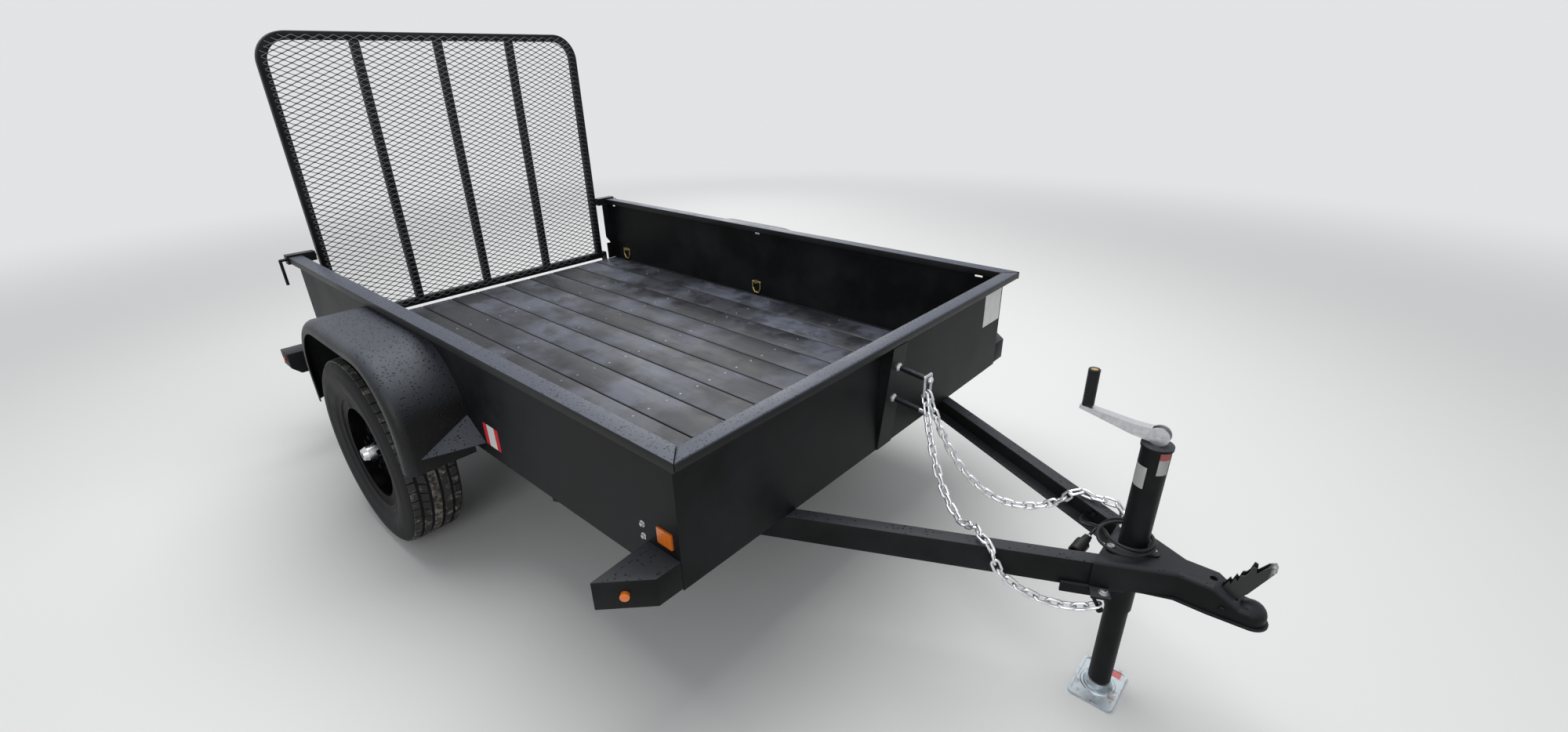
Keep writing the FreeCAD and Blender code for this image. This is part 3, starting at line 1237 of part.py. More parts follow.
def check_and_write():
    faults = [o.Name for o in doc.Objects if "Invalid" in o.State or "Error" in o.State]
    faults += [n for n, o in nodes.items() if o.Shape.isNull() or not o.Shape.isValid()]
    if faults:
        raise RuntimeError("failed objects: " + ", ".join(faults))
    os.makedirs("parts", exist_ok=True)
    for name, thing in nodes.items():
        thing.Shape.exportStep(f"parts/{name}.step")
    volume = sum(o.Shape.Volume for o in nodes.values())
    print(len(nodes), "nodes,", round(volume / 1e6), "cubic decimetres x 1000")


build()
check_and_write()
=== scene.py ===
import json
import math

import bmesh
import bpy
import numpy
from mathutils import Matrix, Vector


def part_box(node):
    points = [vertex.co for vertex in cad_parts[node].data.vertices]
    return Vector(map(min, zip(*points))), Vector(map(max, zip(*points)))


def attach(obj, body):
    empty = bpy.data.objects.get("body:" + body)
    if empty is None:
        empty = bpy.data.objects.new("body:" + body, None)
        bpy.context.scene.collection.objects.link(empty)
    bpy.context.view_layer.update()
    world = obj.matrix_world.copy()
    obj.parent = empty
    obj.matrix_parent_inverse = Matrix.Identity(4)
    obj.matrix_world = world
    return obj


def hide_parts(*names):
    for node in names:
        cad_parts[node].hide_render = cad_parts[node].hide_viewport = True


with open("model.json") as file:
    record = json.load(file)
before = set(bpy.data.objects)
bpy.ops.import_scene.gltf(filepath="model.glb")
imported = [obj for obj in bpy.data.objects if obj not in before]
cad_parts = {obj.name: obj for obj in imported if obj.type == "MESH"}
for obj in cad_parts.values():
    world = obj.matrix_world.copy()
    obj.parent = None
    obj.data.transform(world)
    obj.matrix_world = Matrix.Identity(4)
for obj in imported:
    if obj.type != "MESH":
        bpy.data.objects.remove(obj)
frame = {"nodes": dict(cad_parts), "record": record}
nodes = frame["nodes"]
bodies = frame["record"]["behaviour"]["bodies"]
body_of_node = {name: body for body, names in bodies.items() for name in names}
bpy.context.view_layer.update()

# The studio: a pale floor that fades into a pale surround, one broad soft lamp overhead and two
# weaker ones at the sides. The camera stands off the right front corner, 1.55 m above the floor,
# with a wide lens.
SURROUND = (0.76, 0.77, 0.78, 1)
panel_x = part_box("front_panel")[1].x


def add_node(tree, kind, values=(), **settings):
    """A shader node with its settings, and numbers or links for its inputs."""
    made = tree.nodes.new(kind)
    for name, value in settings.items():
        setattr(made, name, value)
    for name, value in dict(values).items():
        if isinstance(value, bpy.types.NodeSocket):
            tree.links.new(value, made.inputs[name])
        else:
            made.inputs[name].default_value = value
    return made


def reckon(tree, operation, *numbers, **settings):
    """The result of one sum on numbers or links."""
    return add_node(tree, "ShaderNodeMath", enumerate(numbers), operation=operation, **settings).outputs[0]


def ramp(tree, value, start, end, low=0.0, high=1.0, **settings):
    """Runs from low to high while a value runs from start to end, and stays there beyond them."""
    values = {0: value, 1: start, 2: end, 3: low, 4: high}
    return add_node(tree, "ShaderNodeMapRange", values, **settings).outputs[0]


def own_place(tree):
    """Where a point lies, in its object's own coordinates."""
    return add_node(tree, "ShaderNodeTexCoord").outputs["Object"]


def look_along(piece, place, forward, roll=0.0):
    """Stands a camera or lamp at a place, looking forward, turned about its view by roll."""
    right = forward.cross(Vector((0, 0, 1))).normalized()
    up = right.cross(forward)
    across = right * math.cos(roll) + up * math.sin(roll)
    above = up * math.cos(roll) - right * math.sin(roll)
    turn = Matrix((across, above, -forward)).transposed()
    piece.matrix_world = Matrix.Translation(place) @ turn.to_4x4()


def plainly_seen(tree):
    """1 for rays that show the surround as it is: the camera's, and those of gloss and clear lenses."""
    rays = add_node(tree, "ShaderNodeLightPath").outputs
    both = reckon(tree, "MAXIMUM", rays["Is Camera Ray"], rays["Is Glossy Ray"])
    return reckon(tree, "MAXIMUM", both, rays["Is Transmission Ray"])


yaw, pitch, roll = math.radians(48.538), math.radians(-24.685), math.radians(-1.144)
forward = Vector((-math.cos(yaw) * math.cos(pitch), math.sin(yaw) * math.cos(pitch), math.sin(pitch)))
lens = bpy.data.cameras.new("view")
lens.sensor_width, lens.lens = 36, 15.193
lens.clip_start, lens.clip_end = 0.02, 300
camera = bpy.data.objects.new("view", lens)
bpy.context.scene.collection.objects.link(camera)
look_along(camera, Vector((panel_x + 0.9399, -1.5016, 1.5530)), forward, roll)
bpy.context.scene.camera = camera

for name, place, aim, size, watts in (("overhead", (-0.6, 0.6, 5.0), (-0.1, 0.1, 0), 5.0, 270),
                                      ("right_side", (3.0, -5.5, 2.6), (0, 0, 0.4), 3.5, 90),
                                      ("back_side", (-4.5, 4.5, 3.0), (0, 0, 0.4), 3.5, 90)):
    light = bpy.data.lights.new(name, "AREA")
    light.shape, light.size, light.energy = "DISK", size, watts
    lamp = bpy.data.objects.new(name, light)
    bpy.context.scene.collection.objects.link(lamp)
    look_along(lamp, Vector(place), (Vector(aim) - Vector(place)).normalized())

sky = bpy.data.worlds.new("surround")
sky.use_nodes = True
bpy.context.scene.world = sky
tree = sky.node_tree
tree.nodes.clear()
plain = add_node(tree, "ShaderNodeBackground", {"Color": SURROUND, "Strength": 1.0})
lit = add_node(tree, "ShaderNodeBackground", {"Color": (0.93, 0.96, 1.0, 1), "Strength": 0.40})
mix = add_node(tree, "ShaderNodeMixShader", {0: plainly_seen(tree), 1: lit.outputs[0], 2: plain.outputs[0]})
add_node(tree, "ShaderNodeOutputWorld", {"Surface": mix.outputs[0]})

floor_mesh = bpy.data.meshes.new("studio_floor")
shape = bmesh.new()
bmesh.ops.create_circle(shape, cap_ends=True, radius=90, segments=64)
shape.to_mesh(floor_mesh)
shape.free()
floor = bpy.data.objects.new("studio_floor", floor_mesh)
bpy.context.scene.collection.objects.link(floor)
paint = bpy.data.materials.new("studio_floor")
paint.use_nodes = True
tree = paint.node_tree
tree.nodes.clear()
far = add_node(tree, "ShaderNodeVectorMath", {0: own_place(tree)}, operation="LENGTH")
fade = ramp(tree, far.outputs["Value"], 3.0, 9.0, interpolation_type="SMOOTHSTEP")
share = reckon(tree, "MULTIPLY", fade, plainly_seen(tree))
matt = add_node(tree, "ShaderNodeBsdfDiffuse", {"Color": (0.70, 0.70, 0.69, 1)})
glow = add_node(tree, "ShaderNodeEmission", {"Color": SURROUND, "Strength": 1.0})
mix = add_node(tree, "ShaderNodeMixShader", {0: share, 1: matt.outputs[0], 2: glow.outputs[0]})
add_node(tree, "ShaderNodeOutputMaterial", {"Surface": mix.outputs[0]})
floor_mesh.materials.append(paint)
bpy.context.scene.view_settings.view_transform = "Standard"

# The wiring cable: a round rubber cable that leaves the left tongue channel through a grommet, is
# wound twice round the parking jack for the journey and ends in a round trailer plug, which lies
# between the channels.


def new_group(name, inputs, outputs):
    """An empty shader group of plain numbers, with what it is given and where its results go."""
    group = bpy.data.node_groups.new(name, "ShaderNodeTree")
    for label, value in inputs.items():
        socket = group.interface.new_socket(label, in_out="INPUT", socket_type="NodeSocketFloat")
        socket.default_value = value
    for label in outputs:
        group.interface.new_socket(label, in_out="OUTPUT", socket_type="NodeSocketFloat")
    return group, group.nodes.new("NodeGroupInput").outputs, group.nodes.new("NodeGroupOutput").inputs


def patches():
    """Soft blotches, for dust, polish and uneven wear."""
    group, given, out = new_group("soft patches", {"Size": 0.2, "Low": 0.35, "High": 0.7}, ["Mask"])
    scale = reckon(group, "DIVIDE", 1.0, given["Size"])
    cloud = add_node(group, "ShaderNodeTexNoise", {"Vector": own_place(group), "Scale": scale,
                                                   "Detail": 6.0, "Roughness": 0.6})
    group.links.new(ramp(group, cloud.outputs[0], given["Low"], given["High"]), out["Mask"])
    return group


def fine_grain():
    """An even fine grain, the height of a moulded, plated or sprayed skin."""
    group, given, out = new_group("fine grain", {"Scale": 500.0, "Detail": 2.0}, ["Height"])
    grain = add_node(group, "ShaderNodeTexNoise", {"Vector": own_place(group), "Scale": given["Scale"],
                                                   "Detail": given["Detail"]})
    group.links.new(grain.outputs[0], out["Height"])
    return group


PATCHES = patches()
GRAIN = fine_grain()


def blotches(tree, size, low, high):
    """The soft patches as a material's mask, from 0 to 1."""
    values = {"Size": size, "Low": low, "High": high}
    return add_node(tree, "ShaderNodeGroup", values, node_tree=PATCHES).outputs["Mask"]


def skin_bump(tree, scale, strength, distance, detail=2.0):
    """The fine grain as a material's bump."""
    grain = add_node(tree, "ShaderNodeGroup", {"Scale": scale, "Detail": detail}, node_tree=GRAIN)
    values = {"Strength": strength, "Distance": distance, "Height": grain.outputs["Height"]}
    return add_node(tree, "ShaderNodeBump", values).outputs[0]


def blank_material(name):
    """A material with a lone Principled shader, and its node tree."""
    made = bpy.data.materials.new(name)
    made.use_nodes = True
    return made, made.node_tree, made.node_tree.nodes["Principled BSDF"]


def blend_colours(tree, share, first, second):
    """Mixes two colours by a mask."""
    first, second = ((*value, 1) if isinstance(value, tuple) else value for value in (first, second))
    return add_node(tree, "ShaderNodeMix", {0: share, 6: first, 7: second}, data_type="RGBA").outputs[2]


def rubber(name, tone, rough):
    """Black rubber, with dust in places and a fine matt grain."""
    made, tree, shader = blank_material(name)
    dust = blotches(tree, 0.06, 0.4, 0.8)
    colour = blend_colours(tree, dust, tone, tuple(c * 1.9 for c in tone))
    tree.links.new(colour, shader.inputs["Base Color"])
    tree.links.new(ramp(tree, dust, 0.0, 1.0, rough - 0.08, rough + 0.1), shader.inputs["Roughness"])
    tree.links.new(skin_bump(tree, 900.0, 0.2, 0.0004), shader.inputs["Normal"])
    shader.inputs["Specular IOR Level"].default_value = 0.2
    return made


def coat(material, *names):
    """Gives CAD nodes a material."""
    for name in names:
        nodes[name].data.materials.clear()
        nodes[name].data.materials.append(material)


JACKET = rubber("cable jacket", (0.014, 0.014, 0.015), 0.42)
coat(JACKET, "wiring_plug", "wiring_grommet")
wound_at = Vector((panel_x + 0.726, 0, 0.473))
# From the grommet, twice round the jack and down to the plug, counted from the coil's middle.
cable_route = ((-0.1365, 0.1364, -0.048), (-0.1514, 0.1058, -0.048), (-0.139, 0.074, -0.038),
               (-0.120, 0.042, -0.016), (-0.094, 0.018, 0.005), (-0.064, -0.003, 0.017),
               (-0.044, -0.038, 0.022), (-0.008, -0.055, 0.025), (0.031, -0.042, 0.026),
               (0.045, -0.005, 0.026), (0.034, 0.034, 0.026), (-0.002, 0.051, 0.027),
               (-0.042, 0.044, 0.027), (-0.070, 0.012, 0.026), (-0.078, -0.028, 0.025),
               (-0.062, -0.066, 0.024), (-0.026, -0.080, 0.022), (0.014, -0.066, 0.019),
               (0.040, -0.034, 0.017), (0.050, 0.008, 0.0163), (0.032, 0.044, 0.0163),
               (-0.008, 0.063, 0.0163), (-0.048, 0.077, 0.015), (-0.080, 0.074, -0.007),
               (-0.099, 0.054, -0.033), (-0.104, 0.018, -0.040))
line = bpy.data.curves.new("wiring_lead", "CURVE")
line.dimensions = "3D"
line.bevel_depth, line.bevel_resolution, line.resolution_u = 0.004, 4, 10
line.use_fill_caps = True
spline = line.splines.new("NURBS")
spline.points.add(len(cable_route) - 1)
for point, place in zip(spline.points, cable_route):
    point.co = (*(wound_at + Vector(place)), 1)
spline.order_u = 3
spline.use_endpoint_u = True
line.materials.append(JACKET)
lead = bpy.data.objects.new("wiring_lead", line)
bpy.context.scene.collection.objects.link(lead)
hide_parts("wiring_cable")
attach(lead, "frame")

# The plug's metal eye: a turned and chromed ring round the cable, pressed into the mouth of the
# plug where the cable enters it.


def zinc(name, tone=(0.62, 0.63, 0.65), rough=0.3, mottle=0.72, rust=0.0):
    """Bright plated steel, dulled and spotted in places, with brown stains where it has rusted."""
    made, tree, shader = blank_material(name)
    dull = blotches(tree, 0.012, 0.35, 0.75)
    colour = blend_colours(tree, dull, tone, tuple(c * mottle for c in tone))
    if rust:
        stains = blotches(tree, 0.020, 0.54, 0.66)
        colour = blend_colours(tree, reckon(tree, "MULTIPLY", stains, rust), colour, (0.20, 0.11, 0.05))
    tree.links.new(colour, shader.inputs["Base Color"])
    tree.links.new(ramp(tree, dull, 0.0, 1.0, rough, rough + 0.2), shader.inputs["Roughness"])
    tree.links.new(skin_bump(tree, 500.0, 0.15, 0.0004), shader.inputs["Normal"])
    shader.inputs["Metallic"].default_value = 1.0
    return made


def new_piece(name, shape, material, replaced=(), body="frame", smooth=0.7):
    """Makes an object of a bmesh, rides it on a body and lets it stand for CAD nodes."""
    bmesh.ops.recalc_face_normals(shape, faces=shape.faces)
    mesh = bpy.data.meshes.new(name)
    shape.to_mesh(mesh)
    shape.free()
    mesh.materials.append(material)
    made = bpy.data.objects.new(name, mesh)
    bpy.context.scene.collection.objects.link(made)
    for polygon in mesh.polygons:
        polygon.use_smooth = True
    mesh.set_sharp_from_angle(angle=smooth)
    if replaced:
        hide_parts(*replaced)
    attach(made, body)


def turned(corners, steps=32):
    """A closed turned form about Z, from (radius, height) corners of its closed profile."""
    shape = bmesh.new()
    ring = [shape.verts.new((radius, 0, height)) for radius, height in corners]
    sides = [shape.edges.new((ring[i], ring[(i + 1) % len(ring)])) for i in range(len(ring))]
    bmesh.ops.spin(shape, geom=ring + sides, cent=(0, 0, 0), axis=(0, 0, 1), angle=math.tau, steps=steps,
                   use_merge=True)
    bmesh.ops.remove_doubles(shape, verts=shape.verts, dist=1e-6)
    return shape


def set_down(shape, place, out, across=(0, 0, 1)):
    """Moves a shape from the origin to a place, its Z along out and its X as near across as it can be."""
    out = Vector(out).normalized()
    across = Vector(across) - out * Vector(across).dot(out)
    across = across.normalized() if across.length > 1e-3 else out.orthogonal().normalized()
    turn = Matrix((across, out.cross(across), out)).transposed().to_4x4()
    bmesh.ops.transform(shape, matrix=Matrix.Translation(place) @ turn, verts=shape.verts)
    return shape


def join_into(whole, part):
    """Adds one shape to another."""
    mesh = bpy.data.meshes.new("part")
    part.to_mesh(mesh)
    part.free()
    whole.from_mesh(mesh)
    bpy.data.meshes.remove(mesh)


CHROME = zinc("polished chrome", (0.78, 0.79, 0.81), 0.08, 0.9)
last, before = Vector(cable_route[-1]), Vector(cable_route[-2])
heading = (last - before).normalized()
eye = turned(((0.0036, -0.0055), (0.0080, -0.0055), (0.0098, -0.0035), (0.0098, 0.0004), (0.0036, 0.0004)))
set_down(eye, wound_at + last, heading)
new_piece("plug_eye", eye, CHROME)

# The frame: angles, crossmembers, tongue channels, posts and axle parts, bent or rolled from steel
# and welded, then coated with black powder baked on. The coat has a fine orange-peel texture, and
# rain stands on its upper faces in small beads.


def facing_up(tree):
    """How far a face looks up: 1 on level tops, 0 on walls and -1 below."""
    face = add_node(tree, "ShaderNodeNewGeometry")
    return add_node(tree, "ShaderNodeSeparateXYZ", {0: face.outputs["Normal"]}).outputs[2]


def rain_beads():
    """Round water drops on upward faces: their height, and a mask that is 1 on a drop."""
    group, given, out = new_group("rain beads", {"Spacing": 0.009, "Amount": 0.6, "Steepest": 0.12},
                                  ["Height", "Mask"])
    scale = reckon(group, "DIVIDE", 1.0, given["Spacing"])
    cells = add_node(group, "ShaderNodeTexVoronoi", {"Vector": own_place(group), "Scale": scale,
                                                     "Randomness": 0.95}).outputs
    chance = add_node(group, "ShaderNodeSeparateColor", {0: cells["Color"]}).outputs
    reach = ramp(group, chance[0], 0.0, 1.0, 0.08, 0.42)
    inside = reckon(group, "SUBTRACT", reach, cells["Distance"])
    dome = ramp(group, inside, 0.0, 0.16, interpolation_type="SMOOTHSTEP")
    flat = ramp(group, facing_up(group), given["Steepest"], 0.6)
    kept = reckon(group, "LESS_THAN", chance[1], given["Amount"])
    drop = reckon(group, "MULTIPLY", dome, reckon(group, "MULTIPLY", flat, kept))
    for label in ("Height", "Mask"):
        group.links.new(drop, out[label])
    return group


def level_faces():
    """A mask that is 1 on level tops and fades to 0 on walls, for the painted sheen of the sky on damp
    tops.
    """
    group, given, out = new_group("level faces", {"Wall": 0.2, "Top": 0.9}, ["Mask"])
    mask = ramp(group, facing_up(group), given["Wall"], given["Top"], interpolation_type="SMOOTHSTEP")
    group.links.new(mask, out["Mask"])
    return group


RAIN = rain_beads()
LEVEL = level_faces()


def powder_coat(name, tone=(0.0055, 0.0057, 0.0062), dust=(0.017, 0.018, 0.020), painted_sheen=(0.045, 0.048, 0.054),
                rain=0.6, peel=0.35, drop=0.0085, gloss=0.12, bead_shade=(0.020, 0.021, 0.025), steepest=0.12):
    """Black powder coat: orange peel, faint dust, and on level faces a pale painted sheen, the sky seen in
    their damp film, with rain beads painted darker than that sheen as painted shade.
    """
    made, tree, shader = blank_material(name)
    cloud = blotches(tree, 0.25, 0.42, 0.75)
    rained = {"Spacing": drop, "Amount": rain, "Steepest": steepest}
    beads = add_node(tree, "ShaderNodeGroup", rained, node_tree=RAIN).outputs
    level = add_node(tree, "ShaderNodeGroup", node_tree=LEVEL).outputs["Mask"]
    dust_and_sheen = blend_colours(tree, cloud, tone, dust)
    # The pale painted sheen on level faces: the sky's reflection in their damp film, painted into the
    # colour.
    damp_and_sheen = blend_colours(tree, level, dust_and_sheen, painted_sheen)
    # Under each rain bead a darker colour is painted, so the drops read as dark specks against the painted
    # sheen: painted shade.
    tree.links.new(blend_colours(tree, beads["Mask"], damp_and_sheen, bead_shade), shader.inputs["Base Color"])
    rough = ramp(tree, cloud, 0.0, 1.0, 0.42, 0.56)
    wet = add_node(tree, "ShaderNodeMix", {0: beads["Mask"], 2: rough, 3: 0.06})
    tree.links.new(wet.outputs[0], shader.inputs["Roughness"])
    skin = skin_bump(tree, 420.0, peel, 0.0006, 3.0)
    drops = add_node(tree, "ShaderNodeBump", {"Strength": 1.0, "Distance": 0.0016, "Normal": skin,
                                              "Height": beads["Height"]})
    tree.links.new(drops.outputs[0], shader.inputs["Normal"])
    shader.inputs["Specular IOR Level"].default_value = gloss
    return made


# Its level tops get the default pale painted sheen, with the rain beads' painted shade on them.
BLACK_COAT = powder_coat("black powder coat")
coat(BLACK_COAT, "perimeter_angles", "floor_crossmembers", "rear_sill", "rear_posts", "axle",
     "spring_hangers", "side_panel_left", "side_panel_right", "front_panel", "spare_bracket", "chain_eyes")


def clean_copy(name):
    """A bmesh of a CAD node with its loose triangles merged into flat faces."""
    shape = bmesh.new()
    shape.from_mesh(nodes[name].data)
    bmesh.ops.remove_doubles(shape, verts=shape.verts, dist=1e-5)
    bmesh.ops.dissolve_limit(shape, angle_limit=0.02, verts=shape.verts, edges=shape.edges)
    return shape


def ease(shape, edges, width, segments=2, clamped=False):
    """Rounds edges, or chamfers them if there is one segment."""
    bmesh.ops.bevel(shape, geom=edges, offset=width, offset_type="OFFSET", segments=segments, profile=0.5,
                    affect="EDGES", material=-1, clamp_overlap=clamped)


def soften(name, width, material, segments=2):
    """Stands a copy of a CAD node in its place with its sharp edges rounded."""
    shape = clean_copy(name)
    sharp = [e for e in shape.edges if len(e.link_faces) == 2 and e.calc_face_angle(0) > 0.5
             and e.calc_length() > width * 2.5]
    ease(shape, sharp, width, segments, clamped=True)
    new_piece(name + "_rounded", shape, material, (name,), body=body_of_node[name])


# The rims: steel tubes rolled over the top of the sides and the front, their edges rounded. Their
# level tops carry more rain than the rest.
# The rims' level tops get a bluer, paler painted sheen, the sky's reflection.
RIM_COAT = powder_coat("rim powder coat", painted_sheen=(0.054, 0.062, 0.084), rain=0.95, peel=0.6, drop=0.0062,
                       gloss=0.25)
for name in ("top_rim_left", "top_rim_right", "top_rim_front"):
    soften(name, 0.006, RIM_COAT, 3)

# The panels' blank stickers: white vinyl with a rounded outline, stuck on the finished coat. One is
# beside the left end of the front panel. The other has red ends and is on the right side panel,
# ahead of the fender's gusset.


def printed_band():
    """A mask that is 1 where a value lies between two others."""
    group, given, out = new_group("printed band", {"Along": 0.0, "Low": 0.0, "High": 1.0}, ["Mask"])
    above = reckon(group, "GREATER_THAN", given["Along"], given["Low"])
    below = reckon(group, "LESS_THAN", given["Along"], given["High"])
    group.links.new(reckon(group, "MULTIPLY", above, below), out["Mask"])
    return group


BAND = printed_band()


def label_stock(name, bands=(), red=(0.62, 0.02, 0.035)):
    """White vinyl with a little dust on it, and plain red bands where an axis lies between two values."""
    made, tree, shader = blank_material(name)
    dust = blotches(tree, 0.05, 0.4, 0.8)
    colour = blend_colours(tree, dust, (0.74, 0.74, 0.73), (0.60, 0.60, 0.59))
    along = add_node(tree, "ShaderNodeSeparateXYZ", {0: own_place(tree)}).outputs
    for axis, low, high in bands:
        values = {"Along": along[axis], "Low": low, "High": high}
        band = add_node(tree, "ShaderNodeGroup", values, node_tree=BAND)
        colour = blend_colours(tree, band.outputs["Mask"], colour, red)
    tree.links.new(colour, shader.inputs["Base Color"])
    tree.links.new(ramp(tree, dust, 0.0, 1.0, 0.28, 0.5), shader.inputs["Roughness"])
    return made


def sticker(name, low, high, out, material, body="frame"):
    """A thin sheet with rounded corners, stuck on a flat face between two of that face's points."""
    low, high, out = Vector(low), Vector(high), Vector(out)
    across = Vector((0, 1, 0)) if out.x else Vector((1, 0, 0))
    wide, tall = abs((high - low).dot(across)), abs((high - low).dot(out.cross(across)))
    shape = bmesh.new()
    bmesh.ops.create_grid(shape, x_segments=1, y_segments=1, size=0.5)
    bmesh.ops.scale(shape, vec=(wide, tall, 1), verts=shape.verts)
    bmesh.ops.bevel(shape, geom=shape.verts[:], offset=0.003, offset_type="OFFSET", segments=3, profile=0.5,
                    affect="VERTICES", material=-1)
    bmesh.ops.solidify(shape, geom=shape.faces[:], thickness=0.0003)
    set_down(shape, (low + high) / 2 + out * 0.0004, out, across)
    new_piece(name, shape, material, body=body)


side_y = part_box("side_panel_right")[0].y
label_back, label_front, end_width = panel_x - 0.900, panel_x - 0.812, 0.022
RED_ENDS = label_stock("red ended label", ((0, label_back, label_back + end_width),
                                           (0, label_front - end_width, label_front)))
sticker("side_label_right", (label_back, side_y, 0.510), (label_front, side_y, 0.585), (0, -1, 0), RED_ENDS)
PLAIN_LABEL = label_stock("plain label")
sticker("front_label", (panel_x, 0.657, 0.660), (panel_x, 0.787, 0.800), (1, 0, 0), PLAIN_LABEL)

# The deck: eleven softwood planks, stained black and still damp, laid lengthways and driven down
# with rows of screws at every crossmember.
PLANKS, PLANK_PITCH = 11, 0.143
plank_low, plank_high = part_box("floor_planks")


def streaks(tree, place, stretch, **values):
    """Noise squeezed along each axis by its own number, so drawn out where that is small."""
    drawn = add_node(tree, "ShaderNodeMapping", {0: place, 3: stretch})
    return add_node(tree, "ShaderNodeTexNoise", {0: drawn.outputs[0], **values}).outputs[0]


def timber(top):
    """Dark stained wood with long grain, saw marks, streaks and patches of pale painted sheen for the sky
    seen in the damp wood, darker damp patches, and painted shade in the gaps between planks.
    """
    made, tree, shader = blank_material("stained planks")
    where = own_place(tree)
    board = add_node(tree, "ShaderNodeAttribute", attribute_name="board_shade").outputs["Fac"]
    apart = reckon(tree, "MULTIPLY", board, 9.0)
    shifted = add_node(tree, "ShaderNodeVectorMath", {0: where, 1: apart}, operation="ADD").outputs[0]
    long_grain = streaks(tree, shifted, (1.2, 22.0, 22.0), Scale=3.0, Detail=8.0, Roughness=0.65,
                         Distortion=0.6)
    fibres = streaks(tree, shifted, (6.0, 260.0, 260.0), Scale=2.0, Detail=4.0)
    saw = streaks(tree, shifted, (150.0, 6.0, 6.0), Scale=1.0, Detail=2.0)
    # The pale bluish patches laid on the planks are a painted sheen, the sky's reflection in the damp wood.
    wear_and_sheen = streaks(tree, shifted, (1.0, 1.0, 1.0), Scale=2.6, Detail=5.0, Roughness=0.55)
    sheen = ramp(tree, wear_and_sheen, 0.46, 0.60, 0.0, 0.62)
    damp_and_sheen = blotches(tree, 0.11, 0.50, 0.62)
    base = blend_colours(tree, long_grain, (0.007, 0.007, 0.008), (0.040, 0.041, 0.048))
    shade = blend_colours(tree, board, (0.013, 0.014, 0.017), (0.037, 0.040, 0.050))
    both = blend_colours(tree, fibres, base, shade)
    dust_and_sheen = blend_colours(tree, sheen, both, (0.112, 0.124, 0.162))
    wetted = blend_colours(tree, reckon(tree, "MULTIPLY", damp_and_sheen, 0.55), dust_and_sheen, (0.010, 0.010, 0.011))
    # The plank edges that fall away below the top are painted near black: painted shade in the gaps between
    # the planks.
    height = add_node(tree, "ShaderNodeSeparateXYZ", {0: where}).outputs[2]
    gap_shade = ramp(tree, height, top - 0.0005, top - 0.0030)
    tree.links.new(blend_colours(tree, gap_shade, wetted, (0.002, 0.002, 0.002)), shader.inputs["Base Color"])
    dry = ramp(tree, long_grain, 0.3, 0.7, 0.38, 0.62)
    rough = add_node(tree, "ShaderNodeMix", {0: damp_and_sheen, 2: dry, 3: 0.36})
    tree.links.new(rough.outputs[0], shader.inputs["Roughness"])
    rows = reckon(tree, "ADD", fibres, saw)
    bump = add_node(tree, "ShaderNodeBump", {"Strength": 0.4, "Distance": 0.001, "Height": rows})
    tree.links.new(bump.outputs[0], shader.inputs["Normal"])
    shader.inputs["Specular IOR Level"].default_value = 0.35
    return made


def loose_solids(name):
    """The separate solids of a CAD node, each as a list of its corners."""
    shape = clean_copy(name)
    found, waiting = [], set(shape.verts)
    while waiting:
        corners, reached = [], [waiting.pop()]
        while reached:
            corner = reached.pop()
            corners.append(corner.co.copy())
            for side in corner.link_edges:
                other = side.other_vert(corner)
                if other in waiting:
                    waiting.discard(other)
                    reached.append(other)
        found.append(corners)
    shape.free()
    return found


STAINED = timber(plank_high.z)
planks = clean_copy("floor_planks")
shade = planks.verts.layers.float.new("board_shade")
board_shades = (0.5, 0.9, 0.2, 0.7, 0.4, 0.95, 0.3, 0.6, 0.1, 0.8, 0.45)
for vertex in planks.verts:
    row = int((vertex.co.y - plank_low.y) / PLANK_PITCH)
    vertex[shade] = board_shades[row % PLANKS]
ease(planks, [e for e in planks.edges if e.calc_length() > 0.1 and len(e.link_faces) == 2], 0.0055)
new_piece("deck_planks", planks, STAINED, ("floor_planks",))

member_rows = sorted(sum(corner.x for corner in corners) / len(corners)
                     for corners in loose_solids("floor_crossmembers"))
screws = bmesh.new()
for x in (plank_low.x + 0.02, *member_rows, plank_high.x - 0.02):
    for row in range(PLANKS):
        for side in (0.030, 0.108):
            wander = 0.003 * math.sin(37.0 * row + 11.0 * x + 90.0 * side)
            y = plank_low.y + PLANK_PITCH * row + side + wander / 2
            place = Matrix.Translation((x + wander, y, plank_high.z + 0.0003))
            bmesh.ops.create_cone(screws, cap_ends=True, segments=10, radius1=0.0048, radius2=0.0036,
                                  depth=0.0014, matrix=place)
SCREW_STEEL = zinc("dark screw heads", (0.30, 0.30, 0.31))
new_piece("deck_screws", screws, SCREW_STEEL)

